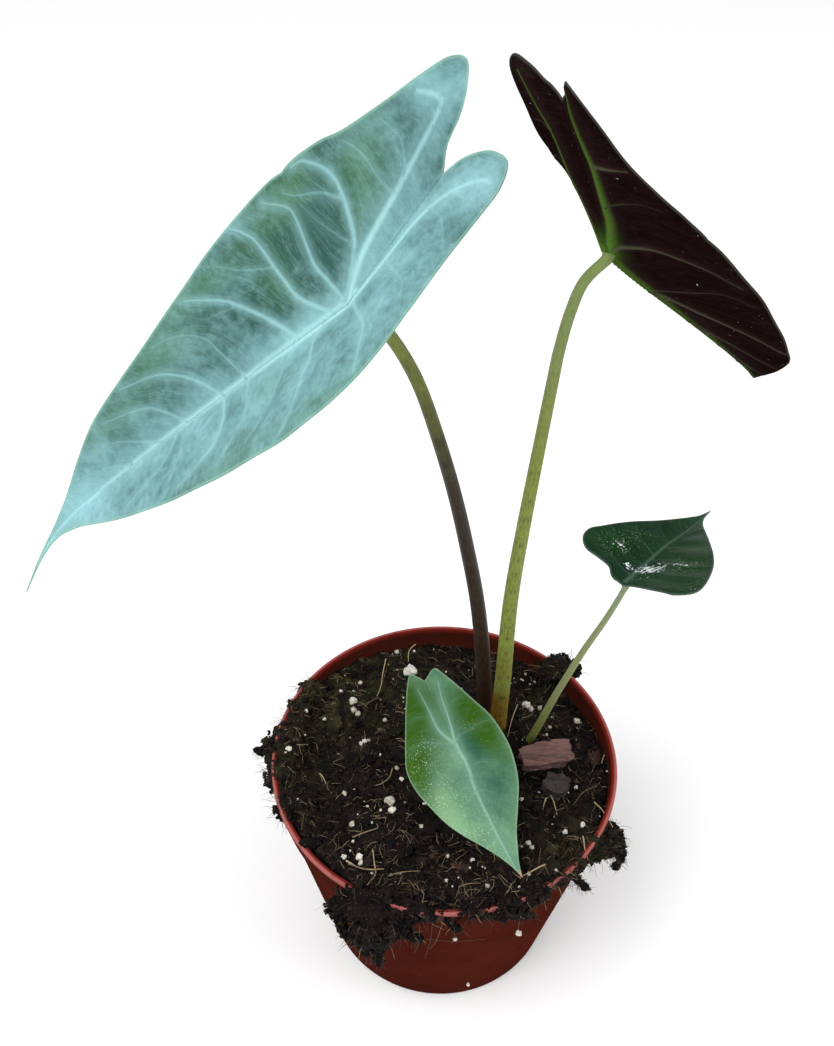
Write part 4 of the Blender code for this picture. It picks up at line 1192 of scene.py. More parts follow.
@dataclass
class LeafBlade:
    """One blade as a dense sheet between its two faces, with veins, quilting and a thin margin."""

    name: str
    slot: str
    form: BladeForm
    veins: tuple
    upper: Finish
    lower: Finish
    # Patches that make the blade paler or darker; on the silver blade, partly painted sheen and painted shade.
    light: tuple = ()
    green: tuple = ()
    dust: tuple = ()
    wet: tuple = ()
    dry_tip: float = 0.0
    spacing: float = 0.75
    thickness: float = 0.8
    edge_thickness: float = 0.38
    rib_height: float = 1.0
    fine_rib_height: float = 0.4
    quilting: float = 0.6
    quilt_reach: float = 3.5
    edge_wave: float = 0.12
    wave_length: float = 21.0
    thin_border: float = 3.0
    rim_like: Face = Face.UPPER
    sheet: LeafSheet = field(init=False)

    REACH: ClassVar[float] = 40
    COURSE_STEP: ClassVar[float] = 0.55
    EDGE_GAP: ClassVar[float] = 0.35
    COURSE_GAP: ClassVar[float] = 0.28
    NET_GAP: ClassVar[float] = 0.37

    def __post_init__(self) -> None:
        """Lay out the curved sheet."""
        self.sheet = LeafSheet(self.form)

    def flat_points(self) -> tuple:
        """Return the outline's count and all flat points: the outline, then an even net inside it."""
        outline = self.sheet.outline()
        step = self.spacing
        rows = np.arange(self.sheet.rear, self.sheet.length, step * ROW_STEP)
        net = staggered_net(np.arange(-self.REACH, self.REACH, step), rows, step)
        border = np.vstack([outline, outline[:1]])
        courses = [smooth_curve(vein.course, self.COURSE_STEP) for vein in self.veins]
        kept = np.zeros((0, 2))
        for course in courses:
            course = course[inside(course, outline)]
            course = course[distance_to(border, course)[0] > self.EDGE_GAP]
            if len(kept):
                gap = np.linalg.norm(course[:, None] - kept[None], axis=2).min(1)
                course = course[gap > self.COURSE_GAP]
            kept = np.vstack([kept, course])
        net = net[inside(net, outline)]
        clear = distance_to(border, net)[0] > 0.5 * step
        for course in courses:
            clear &= distance_to(course, net)[0] > self.NET_GAP
        return len(outline), np.vstack([outline, kept, net[clear]])

    def lanes(self, flat: np.ndarray) -> np.ndarray:
        """Return where each flat point lies between the lateral veins of its side, counted from the rear."""
        u, v = flat.T
        result = v / 12
        for side in (+1, -1):
            chosen = u * side >= 0
            rows = []
            for vein in self.veins:
                course = np.array(vein.course, dtype=float)
                if not vein.is_rib and course[-1, 0] * side > 0 and abs(course[0, 0]) < 10:
                    order = np.argsort(np.abs(course[:, 0]))
                    reach = np.abs(course[order, 0])
                    rows.append(np.interp(np.abs(u[chosen]), reach, course[order, 1]))
            levels = np.sort(np.array(rows), axis=0)
            levels = np.vstack([levels[0] - 14, levels, levels[-1] + 16])
            lane = np.zeros(chosen.sum())
            for index in range(len(levels) - 1):
                low, high = levels[index], levels[index + 1]
                lane += np.clip((v[chosen] - low) / np.maximum(high - low, 1.0), 0, 1)
            result[chosen] = lane + (20 if side < 0 else 0)
        return result

    def vein_fields(self, flat: np.ndarray) -> dict:
        """Return the veins' numbers for each flat point.

        Args:
            flat: the flat points.

        Returns:
            The distance to the nearest vein in half widths, how strongly that vein shows and whether it is
            a rib, the glow round the veins, the distance to the midrib, the ribs' height on the lower face,
            and the distance to any vein in millimetres.
        """
        nearest = np.full(len(flat), 9.0)
        glow = np.zeros(len(flat))
        ridge = np.zeros(len(flat))
        plain = np.full(len(flat), 1e3)
        spine = np.full(len(flat), 9.0)
        power = np.zeros(len(flat))
        rib = np.zeros(len(flat))
        for vein in self.veins:
            line = smooth_curve(vein.course, self.COURSE_STEP)
            distance, share = distance_to(line, flat)
            half = vein.root + (vein.end - vein.root) * share**0.8
            closer = distance / half < nearest
            grade = 1.0 if vein.is_rib else min(1.0, vein.root / 0.62) ** 1.5
            power = np.where(closer, grade * (1 - 0.45 * share), power)
            rib = np.where(closer, float(vein.is_rib), rib)
            nearest = np.minimum(nearest, distance / half)
            plain = np.minimum(plain, distance)
            reach = vein.glow if vein.is_rib else 0.5 * vein.glow
            glow = np.maximum(glow, grade * (1 - 0.4 * share) * np.exp(-(distance / reach) ** 2))
            height = (self.rib_height if vein.is_rib else self.fine_rib_height) * (1 - 0.75 * share)
            width = (1.5 if vein.is_rib else 0.8) * (1 - 0.5 * share)
            ridge = np.maximum(ridge, height * np.exp(-(distance / width) ** 2))
            if vein is max(self.veins, key=lambda each: each.course[-1][1]):
                spine = distance + 0.5 * share
        return {"vein": nearest, "glow": glow, "spine": spine, "ridge": ridge, "plain": plain,
                "power": power, "rib": rib}

    def build(self) -> Object:
        """Build the blade's mesh with its numbers for the materials."""
        count, points = self.flat_points()
        flat, faces = fill_outline(points, count)
        u, v = flat.T
        sheet = self.sheet
        fields = self.vein_fields(flat)
        outline = sheet.outline()
        margin, _ = distance_to(np.vstack([outline, outline[:1]]), flat)
        width = np.maximum(sheet.half_width(u, v), 3.0)
        outward = np.clip(np.abs(u) / width, 0, 1)
        fade = np.clip((sheet.length - v) / 30, 0, 1)
        side = np.where(u >= 0, 1, -1)
        wave = self.edge_wave * fade * outward**3 * np.sin(2 * math.pi * v / self.wave_length + side)
        swell = 1 - np.exp(-(fields["plain"] / self.quilt_reach) ** 2)
        quilt = self.quilting * swell * (1 - outward**4)
        up = sheet.normals(u, v)
        upper = sheet.places(u, v) + up * (wave + quilt)[:, None]
        inward = np.clip(margin / self.thin_border, 0, 1)
        thin = self.edge_thickness + (self.thickness - self.edge_thickness) * inward
        lower = upper - up * (thin + fields["ridge"] * np.clip(margin / 2, 0, 1))[:, None]
        total = len(flat)
        shell = faces + [tuple(total + i for i in face[::-1]) for face in faces]
        border = open_edges(faces)
        shell += [(b, a, total + a, total + b) for a, b in border]
        indices = ([Face.UPPER.value] * len(faces) + [Face.LOWER.value] * len(faces)
                   + [self.rim_like.value] * len(border))
        marks = {label: fields[label] for label in ("vein", "glow", "spine", "power", "rib")}
        marks.update({"margin": margin, "lane": self.lanes(flat), "reach": np.abs(u)})
        marks["light"] = sum((patch.at(u, v) for patch in self.light), np.zeros(total))
        for label, patches in (("green", self.green), ("dust", self.dust), ("wet", self.wet)):
            marks[label] = np.clip(sum((patch.at(u, v) for patch in patches), np.zeros(total)), 0, 1)
        marks["dry"] = np.clip((v - (sheet.length - self.dry_tip)) / 2.5, 0, 1)
        doubled = {label: np.tile(values, 2) for label, values in marks.items()}
        return mesh_piece(self.name, np.vstack([upper, lower]) * MM, shell,
                          [self.upper.build(), self.lower.build()], doubled, indices)

    def add(self, node: str) -> None:
        """Build the blade in place of its solid."""
        settle(self.build(), self.slot, node)


@dataclass
class LeafStalk:
    """One bare stalk, from the corm to its blade, that widens a little where it meets the blade."""

    name: str
    form: BladeForm
    foot_radius: float
    top_radius: float
    points: tuple
    skin: Finish
    sides: int = 28
    step: float = 2.0
    seat: float = 2.2
    lead: float = 3.0
    flare: float = 0.9

    def route(self) -> np.ndarray:
        """Return the centre line's points in millimetres, up into the blade's underside."""
        junction = np.array(self.form.junction)
        under = LeafSheet(self.form).normals(np.zeros(1), np.zeros(1))[0]
        below = junction - (self.seat + self.lead) * under
        body = smooth_curve([*self.points, below, junction - self.seat * under], self.step)
        return np.vstack([body, junction - 0.9 * under, junction - 0.5 * under])

    def build(self) -> Object:
        """Build the stalk's mesh with its numbers for the skin."""
        route = self.route()
        steps = np.linalg.norm(np.diff(route, axis=0), axis=1)
        travelled = np.concatenate([[0], np.cumsum(steps)])
        share = travelled / travelled[-1]
        radii = self.foot_radius + (self.top_radius - self.foot_radius) * share**0.8
        radii = radii + self.flare * np.clip(1 - (travelled[-1] - travelled) / 4, 0, 1) ** 2
        turns = np.linspace(0, 2 * math.pi, self.sides, endpoint=False)
        sway = 0.7 * np.sin(np.arange(len(route)) / 9)[:, None]
        ribbed = radii[:, None] * (1 + 0.018 * np.sin(9 * turns + sway))
        points, faces = sweep(route, ribbed, self.sides, (0.0, -1.0, 0.0))
        foot, head, last = len(points), len(points) + 1, len(points) - self.sides
        points = np.vstack([points, route[:1], route[-1:]])
        for turn in range(self.sides):
            after = (turn + 1) % self.sides
            faces.append((foot, after, turn))
            faces.append((head, last + turn, last + after))
        circle = np.abs(np.arange(self.sides) / self.sides - 0.5) * 2
        marks = {"rise": np.concatenate([np.repeat(share, self.sides), [0, 1]]),
                 "turn": np.concatenate([np.tile(circle, len(route)), [0.5, 0.5]]),
                 "length": np.concatenate([np.repeat(travelled, self.sides) * MM, [0, travelled[-1] * MM]])}
        return mesh_piece(self.name, points * MM, faces, [self.skin.build()], marks)

    def add(self, node: str) -> None:
        """Build the stalk in place of its solid."""
        settle(self.build(), "petiole", node)


@dataclass
class NurseryPot:
    """The round pot: foot, tapered wall, collar and double lip, with a ring of drain holes."""

    height: float = 92
    rim_radius: float = 60
    foot_radius: float = 43
    wall: float = 1.2
    floor: float = 1.8
    collar: float = 12
    collar_step: float = 1.0
    lip: float = 2.0
    overhang: float = 0.8
    sides: int = 192
    holes: int = 8
    hole_radius: float = 3.5
    hole_circle: float = 31

    def rings(self) -> list:
        """Return (radius, height) pairs from the foot's edge, up and over the lip, and down to the floor."""
        step = self.height - self.collar
        collar_radius = self.rim_radius - self.overhang
        wall_top = collar_radius - self.collar_step - 1.2
        lip_bottom = self.height - self.lip
        inner = collar_radius - self.wall
        foot = self.foot_radius
        rim, top = self.rim_radius, self.height
        return [
            (foot - 1.6, 0.5), (foot - 1.2, 0.0), (foot - 0.5, 0.2), (foot - 0.1, 0.7), (foot, 1.3),
            ((foot + wall_top) / 2, 0.5 * step), (wall_top, step - 0.9), (wall_top + 0.2, step - 0.5),
            (wall_top + 0.8, step - 0.1), (wall_top + self.collar_step, step + 0.3),
            (collar_radius - 0.25, lip_bottom - 0.5), (collar_radius - 0.1, lip_bottom - 0.15),
            (rim - 0.3, lip_bottom), (rim, lip_bottom + 0.3), (rim, top - 0.7), (rim - 0.2, top - 0.2),
            (rim - 0.7, top), (rim - 0.95, top - 0.25), (rim - 1.2, top - 0.25), (inner + 0.45, top),
            (inner + 0.1, top - 0.3), (inner, top - 0.8),
            (wall_top + self.collar_step - self.wall, step + 1.2), (wall_top - self.wall, step - 1.0),
            (foot - self.wall, self.floor + 0.9), (foot - self.wall - 0.8, self.floor)]

    def build(self) -> Object:
        """Pull the pot up ring by ring and drill its foot."""
        rings = [(radius * MM, height * MM) for radius, height in self.rings()]
        deselect()
        bpy.ops.mesh.primitive_circle_add(vertices=self.sides, radius=rings[0][0], fill_type="NGON",
                                          location=(0, 0, rings[0][1]))
        pot = bpy.context.object
        pot.name = "nursery_pot"
        bpy.ops.object.transform_apply(location=True, rotation=True, scale=True)
        bpy.ops.object.mode_set(mode="EDIT")
        bpy.ops.mesh.select_mode(type="EDGE")
        bpy.ops.mesh.select_all(action="SELECT")
        for (radius, height), (wider, higher) in zip(rings, rings[1:]):
            bpy.ops.mesh.extrude_edges_move(TRANSFORM_OT_translate={"value": (0, 0, higher - height)})
            factor = wider / radius
            bpy.ops.transform.resize(value=(factor, factor, 1), center_override=(0, 0, higher))
        bpy.ops.mesh.edge_face_add()
        bpy.ops.mesh.select_all(action="SELECT")
        bpy.ops.mesh.normals_make_consistent(inside=False)
        bpy.ops.object.mode_set(mode="OBJECT")
        self.drill(pot)
        pot.data.materials.clear()
        pot.data.materials.append(PotPlastic().build())
        bpy.ops.object.shade_smooth_by_angle(angle=math.radians(38))
        return pot

    def drill(self, pot: Object) -> None:
        """Cut the ring of drain holes through the foot.

        Args:
            pot: the pot.
        """
        circle = self.hole_circle * MM
        for index in range(self.holes):
            angle = 2 * math.pi * (index + 0.5) / self.holes
            deselect()
            bpy.ops.mesh.primitive_cylinder_add(
                vertices=32, radius=self.hole_radius * MM, depth=4 * self.floor * MM,
                location=(circle * math.cos(angle), circle * math.sin(angle), 0))
            drill = bpy.context.object
            bpy.context.view_layer.objects.active = pot
            cut = pot.modifiers.new("drain", "BOOLEAN")
            cut.operation = "DIFFERENCE"
            cut.solver = "EXACT"
            cut.object = drill
            bpy.ops.object.modifier_apply(modifier=cut.name)
            bpy.data.objects.remove(drill, do_unlink=True)
        deselect()
        pot.select_set(True)
        bpy.context.view_layer.objects.active = pot

    def add(self) -> None:
        """Build the pot in place of its solid."""
        settle(self.build(), "pot", "pot")


# The clumps of peat on the soil and over the rim: centre, half sizes.
CLUMPS = (
    ((-55.5, 4, 89), (8.5, 11, 6)),
    ((-56, -7, 88), (6.5, 7, 5)),
    ((-50, -19, 90), (8, 9, 4.5)),
    ((-23, -54, 88), (15, 8, 6.2)),
    ((-23.5, -59.6, 77.5), (7.6, 4.6, 11.5)),
    ((-17, -58.5, 84), (7, 4, 8)),
    ((-6, -56, 90), (9, 5.5, 4.5)),
    ((17, -54, 89.5), (9, 6.5, 5)),
    ((49, -33, 88), (7.5, 6, 4)),
    ((55.4, -28, 85.5), (4, 5.2, 4.8)),
    ((43, 41, 89), (8, 7, 5.5)),
    ((-20, -30, 90), (16, 13, 4)),
    ((-34, 22, 87), (12, 10, 4)),
    ((8, -56.5, 91), (6.5, 3.8, 2.6)),
    ((27, -50.5, 90.5), (6.5, 5, 3)),
    ((34, -45, 90.2), (6.5, 4.2, 3)),
    ((40.5, -39.5, 89.8), (6, 4.6, 3.2)),
    ((-48.8, 28.5, 90.4), (4.6, 5, 2.2)),
    ((-52.6, 19.5, 90.4), (3.6, 6.5, 2.3)),
    ((-55, 11, 90.2), (3.4, 5.5, 2.6)),
)
INNER_CLUMPS = (11, 12)
OVER_RIM = tuple(index for index in range(len(CLUMPS)) if index not in INNER_CLUMPS)
# Where moss grows: x, y, reach, strength.
MOSSY = ((-40, 32, 26, 0.9), (-55, -2, 14, 0.5), (45, -36, 16, 0.55), (-20, 52, 16, 0.7), (34, 30, 12, 0.5))
SOIL_HEIGHT = 87.5
SOIL_FALL = (0.032, 0.062)
SOIL_ROUGHNESS = 1.6


def soil_level(x: float, y: float) -> float:
    """Return the height of the soil's broad surface at a place, all in millimetres."""
    rough = noise.fractal(Vector((x, y, 13.0)) / 11.0, 1.0, 2.0, 3)
    return SOIL_HEIGHT - SOIL_FALL[0] * x - SOIL_FALL[1] * y + SOIL_ROUGHNESS * rough


def ground_level(x: float, y: float) -> float:
    """Return the height of the soil or of the clump on top of it at a place, all in millimetres."""
    level = soil_level(x, y)
    for (cx, cy, cz), (hx, hy, hz) in CLUMPS:
        inner = 1 - ((x - cx) / hx) ** 2 - ((y - cy) / hy) ** 2
        if inner > 0:
            level = max(level, cz + 0.92 * hz * math.sqrt(inner))
    return level


def mossiness(x: float, y: float) -> float:
    """Return how mossy the soil is at a place, 0 to 1."""
    moss = 0.0
    for cx, cy, reach, strength in MOSSY:
        moss = max(moss, strength * math.exp(-((x - cx) ** 2 + (y - cy) ** 2) / reach**2))
    patchy = noise.noise(Vector((x, y, 3.0)) / 3.5)
    return min(max(moss * (0.6 + 1.3 * patchy), 0.0), 1.0)


@dataclass
class SoilBed:
    """The soil's body: an uneven crumbly top on a closed filling of the pot."""

    skin: Finish
    radius: float = 57.2
    spacing: float = 0.75
    sides: int = 288
    levels: tuple = ((41.0, 2.4), (41.4, 3.6), (54.6, 77.0), (57.2, 82.0))

    def build(self) -> Object:
        """Build the soil."""
        reach = self.radius - 0.4
        turns = np.linspace(0, 2 * math.pi, self.sides, endpoint=False)
        circle = np.stack([np.cos(turns), np.sin(turns)], 1)
        rows = np.arange(-reach, reach, self.spacing * ROW_STEP)
        net = staggered_net(np.arange(-reach, reach, self.spacing), rows, self.spacing)
        net = net[np.hypot(*net.T) < reach - 0.5]
        made, faces = fill_outline(np.vstack([circle * reach, net]), self.sides)
        top = []
        for x, y in made.tolist():
            crumbly = noise.fractal(Vector((x, y, 5.0)) / 3.4, 0.7, 2.1, 4)
            lumps = abs(noise.noise(Vector((x, y, 9.0)) / 1.7))
            top.append((x, y, soil_level(x, y) + 1.0 * crumbly + 0.9 * lumps - 0.5))
        points = np.array(top)
        shell = list(faces)
        rim = dict(open_edges(faces))
        start = next(iter(rim))
        ring = [start]
        while rim[ring[-1]] != start:
            ring.append(rim[ring[-1]])
        above = ring
        for radius, height in reversed(self.levels):
            base = len(points)
            around = points[ring, :2]
            around = radius * around / np.hypot(*around.T)[:, None]
            points = np.vstack([points, np.column_stack([around, np.full(len(ring), height)])])
            below = list(range(base, base + len(ring)))
            for index in range(len(ring)):
                after = (index + 1) % len(ring)
                shell.append((above[after], above[index], below[index], below[after]))
            above = below
        shell.append(tuple(reversed(above)))
        tones = [noise.noise(Vector(point) / 6.0) * 0.5 + 0.35 for point in points]
        moss = [mossiness(x, y) for x, y, _ in points]
        return mesh_piece("soil_bed", points * MM, shell, [self.skin.build()],
                          {"tone": tones, "moss": moss}, smooth=80)

    def add(self) -> None:
        """Build the soil in place of its solid."""
        settle(self.build(), "soil", "soil")


class Gathering:
    """Many small shapes in one mesh, each with its own numbers for the material."""

    def __init__(self) -> None:
        """Start with none."""
        self.points: list = []
        self.faces: list = []
        self.marks: dict = {}
        self.count = 0

    def take(self, points: np.ndarray, faces: list, **marks: float) -> None:
        """Take in one shape.

        Args:
            points: its points in millimetres.
            faces: the point numbers of each face.
            marks: its numbers for the material.
        """
        self.points.append(points)
        self.faces.extend([tuple(self.count + i for i in face) for face in faces])
        for label, value in marks.items():
            self.marks.setdefault(label, []).extend([value] * len(points))
        self.count += len(points)

    def build(self, name: str, skin: Finish, smooth: float) -> Object:
        """Return all the shapes as one object."""
        return mesh_piece(name, np.vstack(self.points) * MM, self.faces, [skin.build()], self.marks,
                          smooth=smooth)


class Scatter(Gathering):
    """Copies of a few small rough shapes, with a tone and a mossiness for each copy."""

    def __init__(self, subdivisions: int, roughness: float, first_seed: int = 0) -> None:
        """Make the rough balls that are copied."""
        super().__init__()
        self.shapes = [rough_ball(subdivisions, roughness, first_seed + index) for index in range(5)]

    def put(self, draw: random.Random, centre: tuple, size: tuple, tone: float, moss: float = 0.0) -> None:
        """Add one copy, turned at random.

        Args:
            draw: the random numbers.
            centre: its centre in millimetres.
            size: its half sizes in millimetres.
            tone: its tone, 0 to 1.
            moss: how mossy it is, 0 to 1.
        """
        points, faces = self.shapes[draw.randrange(len(self.shapes))]
        heading = Matrix.Rotation(draw.uniform(0, 6.28), 3, "Z")
        turn = heading @ Matrix.Rotation(draw.uniform(-0.6, 0.6), 3, "X")
        placed = (points * size) @ np.array(turn).T + np.array(centre)
        self.take(placed, faces, tone=tone, moss=moss)


def rough_ball(subdivisions: int, roughness: float, seed: int) -> tuple:
    """Return a rough ball's points and faces, shaped from an icosphere.

    Args:
        subdivisions: how fine it is.
        roughness: how far its points are pushed about, 0 for a plain ball.
        seed: which rough ball it is.

    Returns:
        The points and the faces.
    """
    deselect()
    bpy.ops.mesh.primitive_ico_sphere_add(subdivisions=subdivisions, radius=1.0, location=(0, 0, 0))
    ball = bpy.context.object
    if roughness > 0:
        bpy.ops.object.mode_set(mode="EDIT")
        bpy.ops.mesh.select_all(action="SELECT")
        bpy.ops.transform.vertex_random(offset=roughness, uniform=0.6, normal=0.4, seed=seed)
        bpy.ops.object.mode_set(mode="OBJECT")
    points = np.array([tuple(vert.co) for vert in ball.data.vertices])
    faces = [tuple(face.vertices) for face in ball.data.polygons]
    bpy.data.objects.remove(ball, do_unlink=True)
    return points, faces


class Strands(Gathering):
    """Thin fibres, with a tone for each."""

    START_FRAME = (0.3, 0.2, 0.93)

    def __init__(self, sides: int) -> None:
        """Keep how many sides a fibre has."""
        super().__init__()
        self.sides = sides

    def put(self, course: np.ndarray, thick: float, thin: float, tone: float) -> None:
        """Add one strand.

        Args:
            course: its centre line in millimetres.
            thick: its radius at the start.
            thin: its radius at the end.
            tone: its tone, 0 to 1.
        """
        radii = np.linspace(thick, thin, len(course))[:, None]
        points, faces = sweep(course, radii, self.sides, self.START_FRAME)
        faces.append(tuple(reversed(range(self.sides))))
        faces.append(tuple(range(len(points) - self.sides, len(points))))
        self.take(points, faces, tone=tone)


# The long roots' courses over the soil: x, y.
ROOTS = (
    ((-21.7, 48.6), (-22.7, 40), (-23.2, 34.2), (-24.8, 28.5)),
    ((-24.2, 26.9), (-26.5, 24), (-29.1, 21.1)),
    ((-9.5, 58), (-12.9, 52.5), (-13.2, 48.2)),
    ((-18, -3.3), (-19, -8.4), (-21.7, -11.3), (-24, -11.4)),
    ((-30.3, -33.7), (-26.5, -32.9), (-22.2, -31.2), (-22.6, -29.2)),
    ((-32.1, -41.4), (-28.2, -43.7), (-23.4, -44.5), (-19.1, -44.1)),
    ((-43.1, -7.2), (-40.5, -11.3)),
    ((-23.6, -38), (-23.2, -40.5), (-22.5, -45.4)),
    ((27.4, 27.8), (25, 20), (23, 12.5)),
    ((35.7, -11), (37.2, -15.8), (38.1, -20.9)),
    ((51.3, -15.3), (53.8, -20.3), (56.1, -26.7)),
    ((45.5, -31.3), (45.6, -36.2), (46.8, -38.8)),
    ((4.2, -50.3), (7.7, -49.2), (11.7, -48.7)),
    ((32.2, -42.7), (27.3, -45.6), (23.8, -47)),
    ((57, 5), (55.6, 1.3)),
    ((52.6, -8.5), (48, -11.7), (43.8, -17.1)),
    ((34.8, -14.4), (33.3, -18.9)),
    ((-18.4, -47), (-12.7, -45.5), (-8.1, -44.3)),
    ((-31.2, -42.5), (-26.5, -44.6), (-22.5, -44.5)),
    ((-23.2, -41.2), (-22.4, -46.5), (-25.1, -51.8)),
)

# The large perlite grains on the soil: x, y, half size.
GRAINS = (
    (-33, 23.5, 1.5), (-32.6, 19.8, 1.1), (-31.1, 18.3, 1.0), (-28.2, 7.4, 0.9), (-29.4, 6.5, 0.8),
    (-26.8, 7.8, 0.7), (-37.7, 29.2, 0.8), (-18.4, -19.7, 1.7), (-17.7, -23.7, 1.3), (-30.8, -28.8, 1.0),
    (-34, -15.5, 0.9), (-7.7, -29.3, 0.9), (-32.9, -40.1, 0.9), (-27.8, -40.2, 1.2), (-27.2, -41.8, 1.0),
    (-54, 0, 1.0), (-14.7, -8.1, 0.8), (-12.2, 41.9, 2.6), (-21.2, 18, 0.8), (-16.5, -3.5, 0.8),
    (-49.6, 18.3, 0.8), (-43, 17.1, 0.7), (-17.7, 53, 1.0), (-30.9, 35.2, 0.9), (30.7, 28.1, 1.4),
    (32.2, 26.4, 1.1), (35.9, 27, 1.0), (29.7, 40, 0.8), (31.2, 42.8, 0.7), (48.8, 20.7, 1.2),
    (38.4, 16.9, 0.7), (26.1, -15.8, 0.8), (46.3, -24.9, 1.0), (40.4, -27.2, 0.9), (27.5, -32.9, 0.9),
    (28.6, -34.3, 0.8), (9, -39.7, 0.8), (35.4, -44.8, 0.8), (26.7, -45.8, 0.8), (13.3, -50.8, 0.8),
    (0.2, -48.4, 0.7), (53.3, 3.7, 0.8), (45.7, -9.4, 0.7),
)

# The strings of peat that hang over the rim: course, radius at the start and at the end.
TAILS = (
    (((-26, -60, 80), (-23, -61.5, 74), (-21.5, -61.8, 67), (-21.2, -61, 60)), 3.4, 0.7),
    (((-36, -54, 86), (-33, -58, 81), (-31, -60, 76)), 3.0, 1.2),
    (((-15, -60, 84), (-11, -61, 80.5), (-7.4, -60.5, 77)), 2.6, 0.8),
    (((0, -59.5, 89), (3, -61, 86.5), (4.5, -60.5, 84)), 1.8, 0.7),
    (((18, -57, 88), (24, -55.5, 84.5), (28, -53, 79)), 2.2, 0.7),
    (((56.5, -27.5, 87), (59, -29.2, 83.5), (59.6, -31, 78), (58.4, -31.6, 72.5)), 2.5, 0.9),
    (((42, -43, 87), (45, -44.5, 83.5), (46.5, -44, 81)), 1.5, 0.8),
    (((-60, 3, 91), (-63.5, 1, 92), (-65.5, 0, 93)), 2.0, 0.6),
)
# The long single fibres that hang before the pot.
HAIRS = (
    ((-4, -59.6, 86), (-4.6, -61.6, 78), (-6.1, -61, 65)),
    ((-8, -59.6, 84), (-8.4, -61.6, 76), (-9.4, -61, 69)),
    ((-1, -60.6, 87), (-2.6, -62, 79), (-4.6, -61.4, 72)),
    ((2.5, -60.4, 88), (3, -62, 82), (2.4, -61.4, 76)),
    ((20, -57, 89), (25, -55, 84), (27.9, -53.5, 77.5)),
    ((-5.5, -54.8, 66), (4, -54.7, 64.4), (14.3, -52.5, 62)),
)
# The grains that stick to the pot's wall: x, y, z, half size.
WALL_GRAINS = (
    (3.7, -54.9, 66.3, 0.8), (26, -45.8, 53.5, 1.3), (25.4, -46.4, 56, 0.9), (10.5, -44.3, 11.5, 0.8),
)


def gust(draw: random.Random, across: float, along: float, up: float, drop: float = 0.0) -> Vector:
    """Return a random push, with its spread on each axis and how far down it is drawn."""
    return Vector((draw.gauss(0, across), draw.gauss(0, along), draw.gauss(-drop, up)))


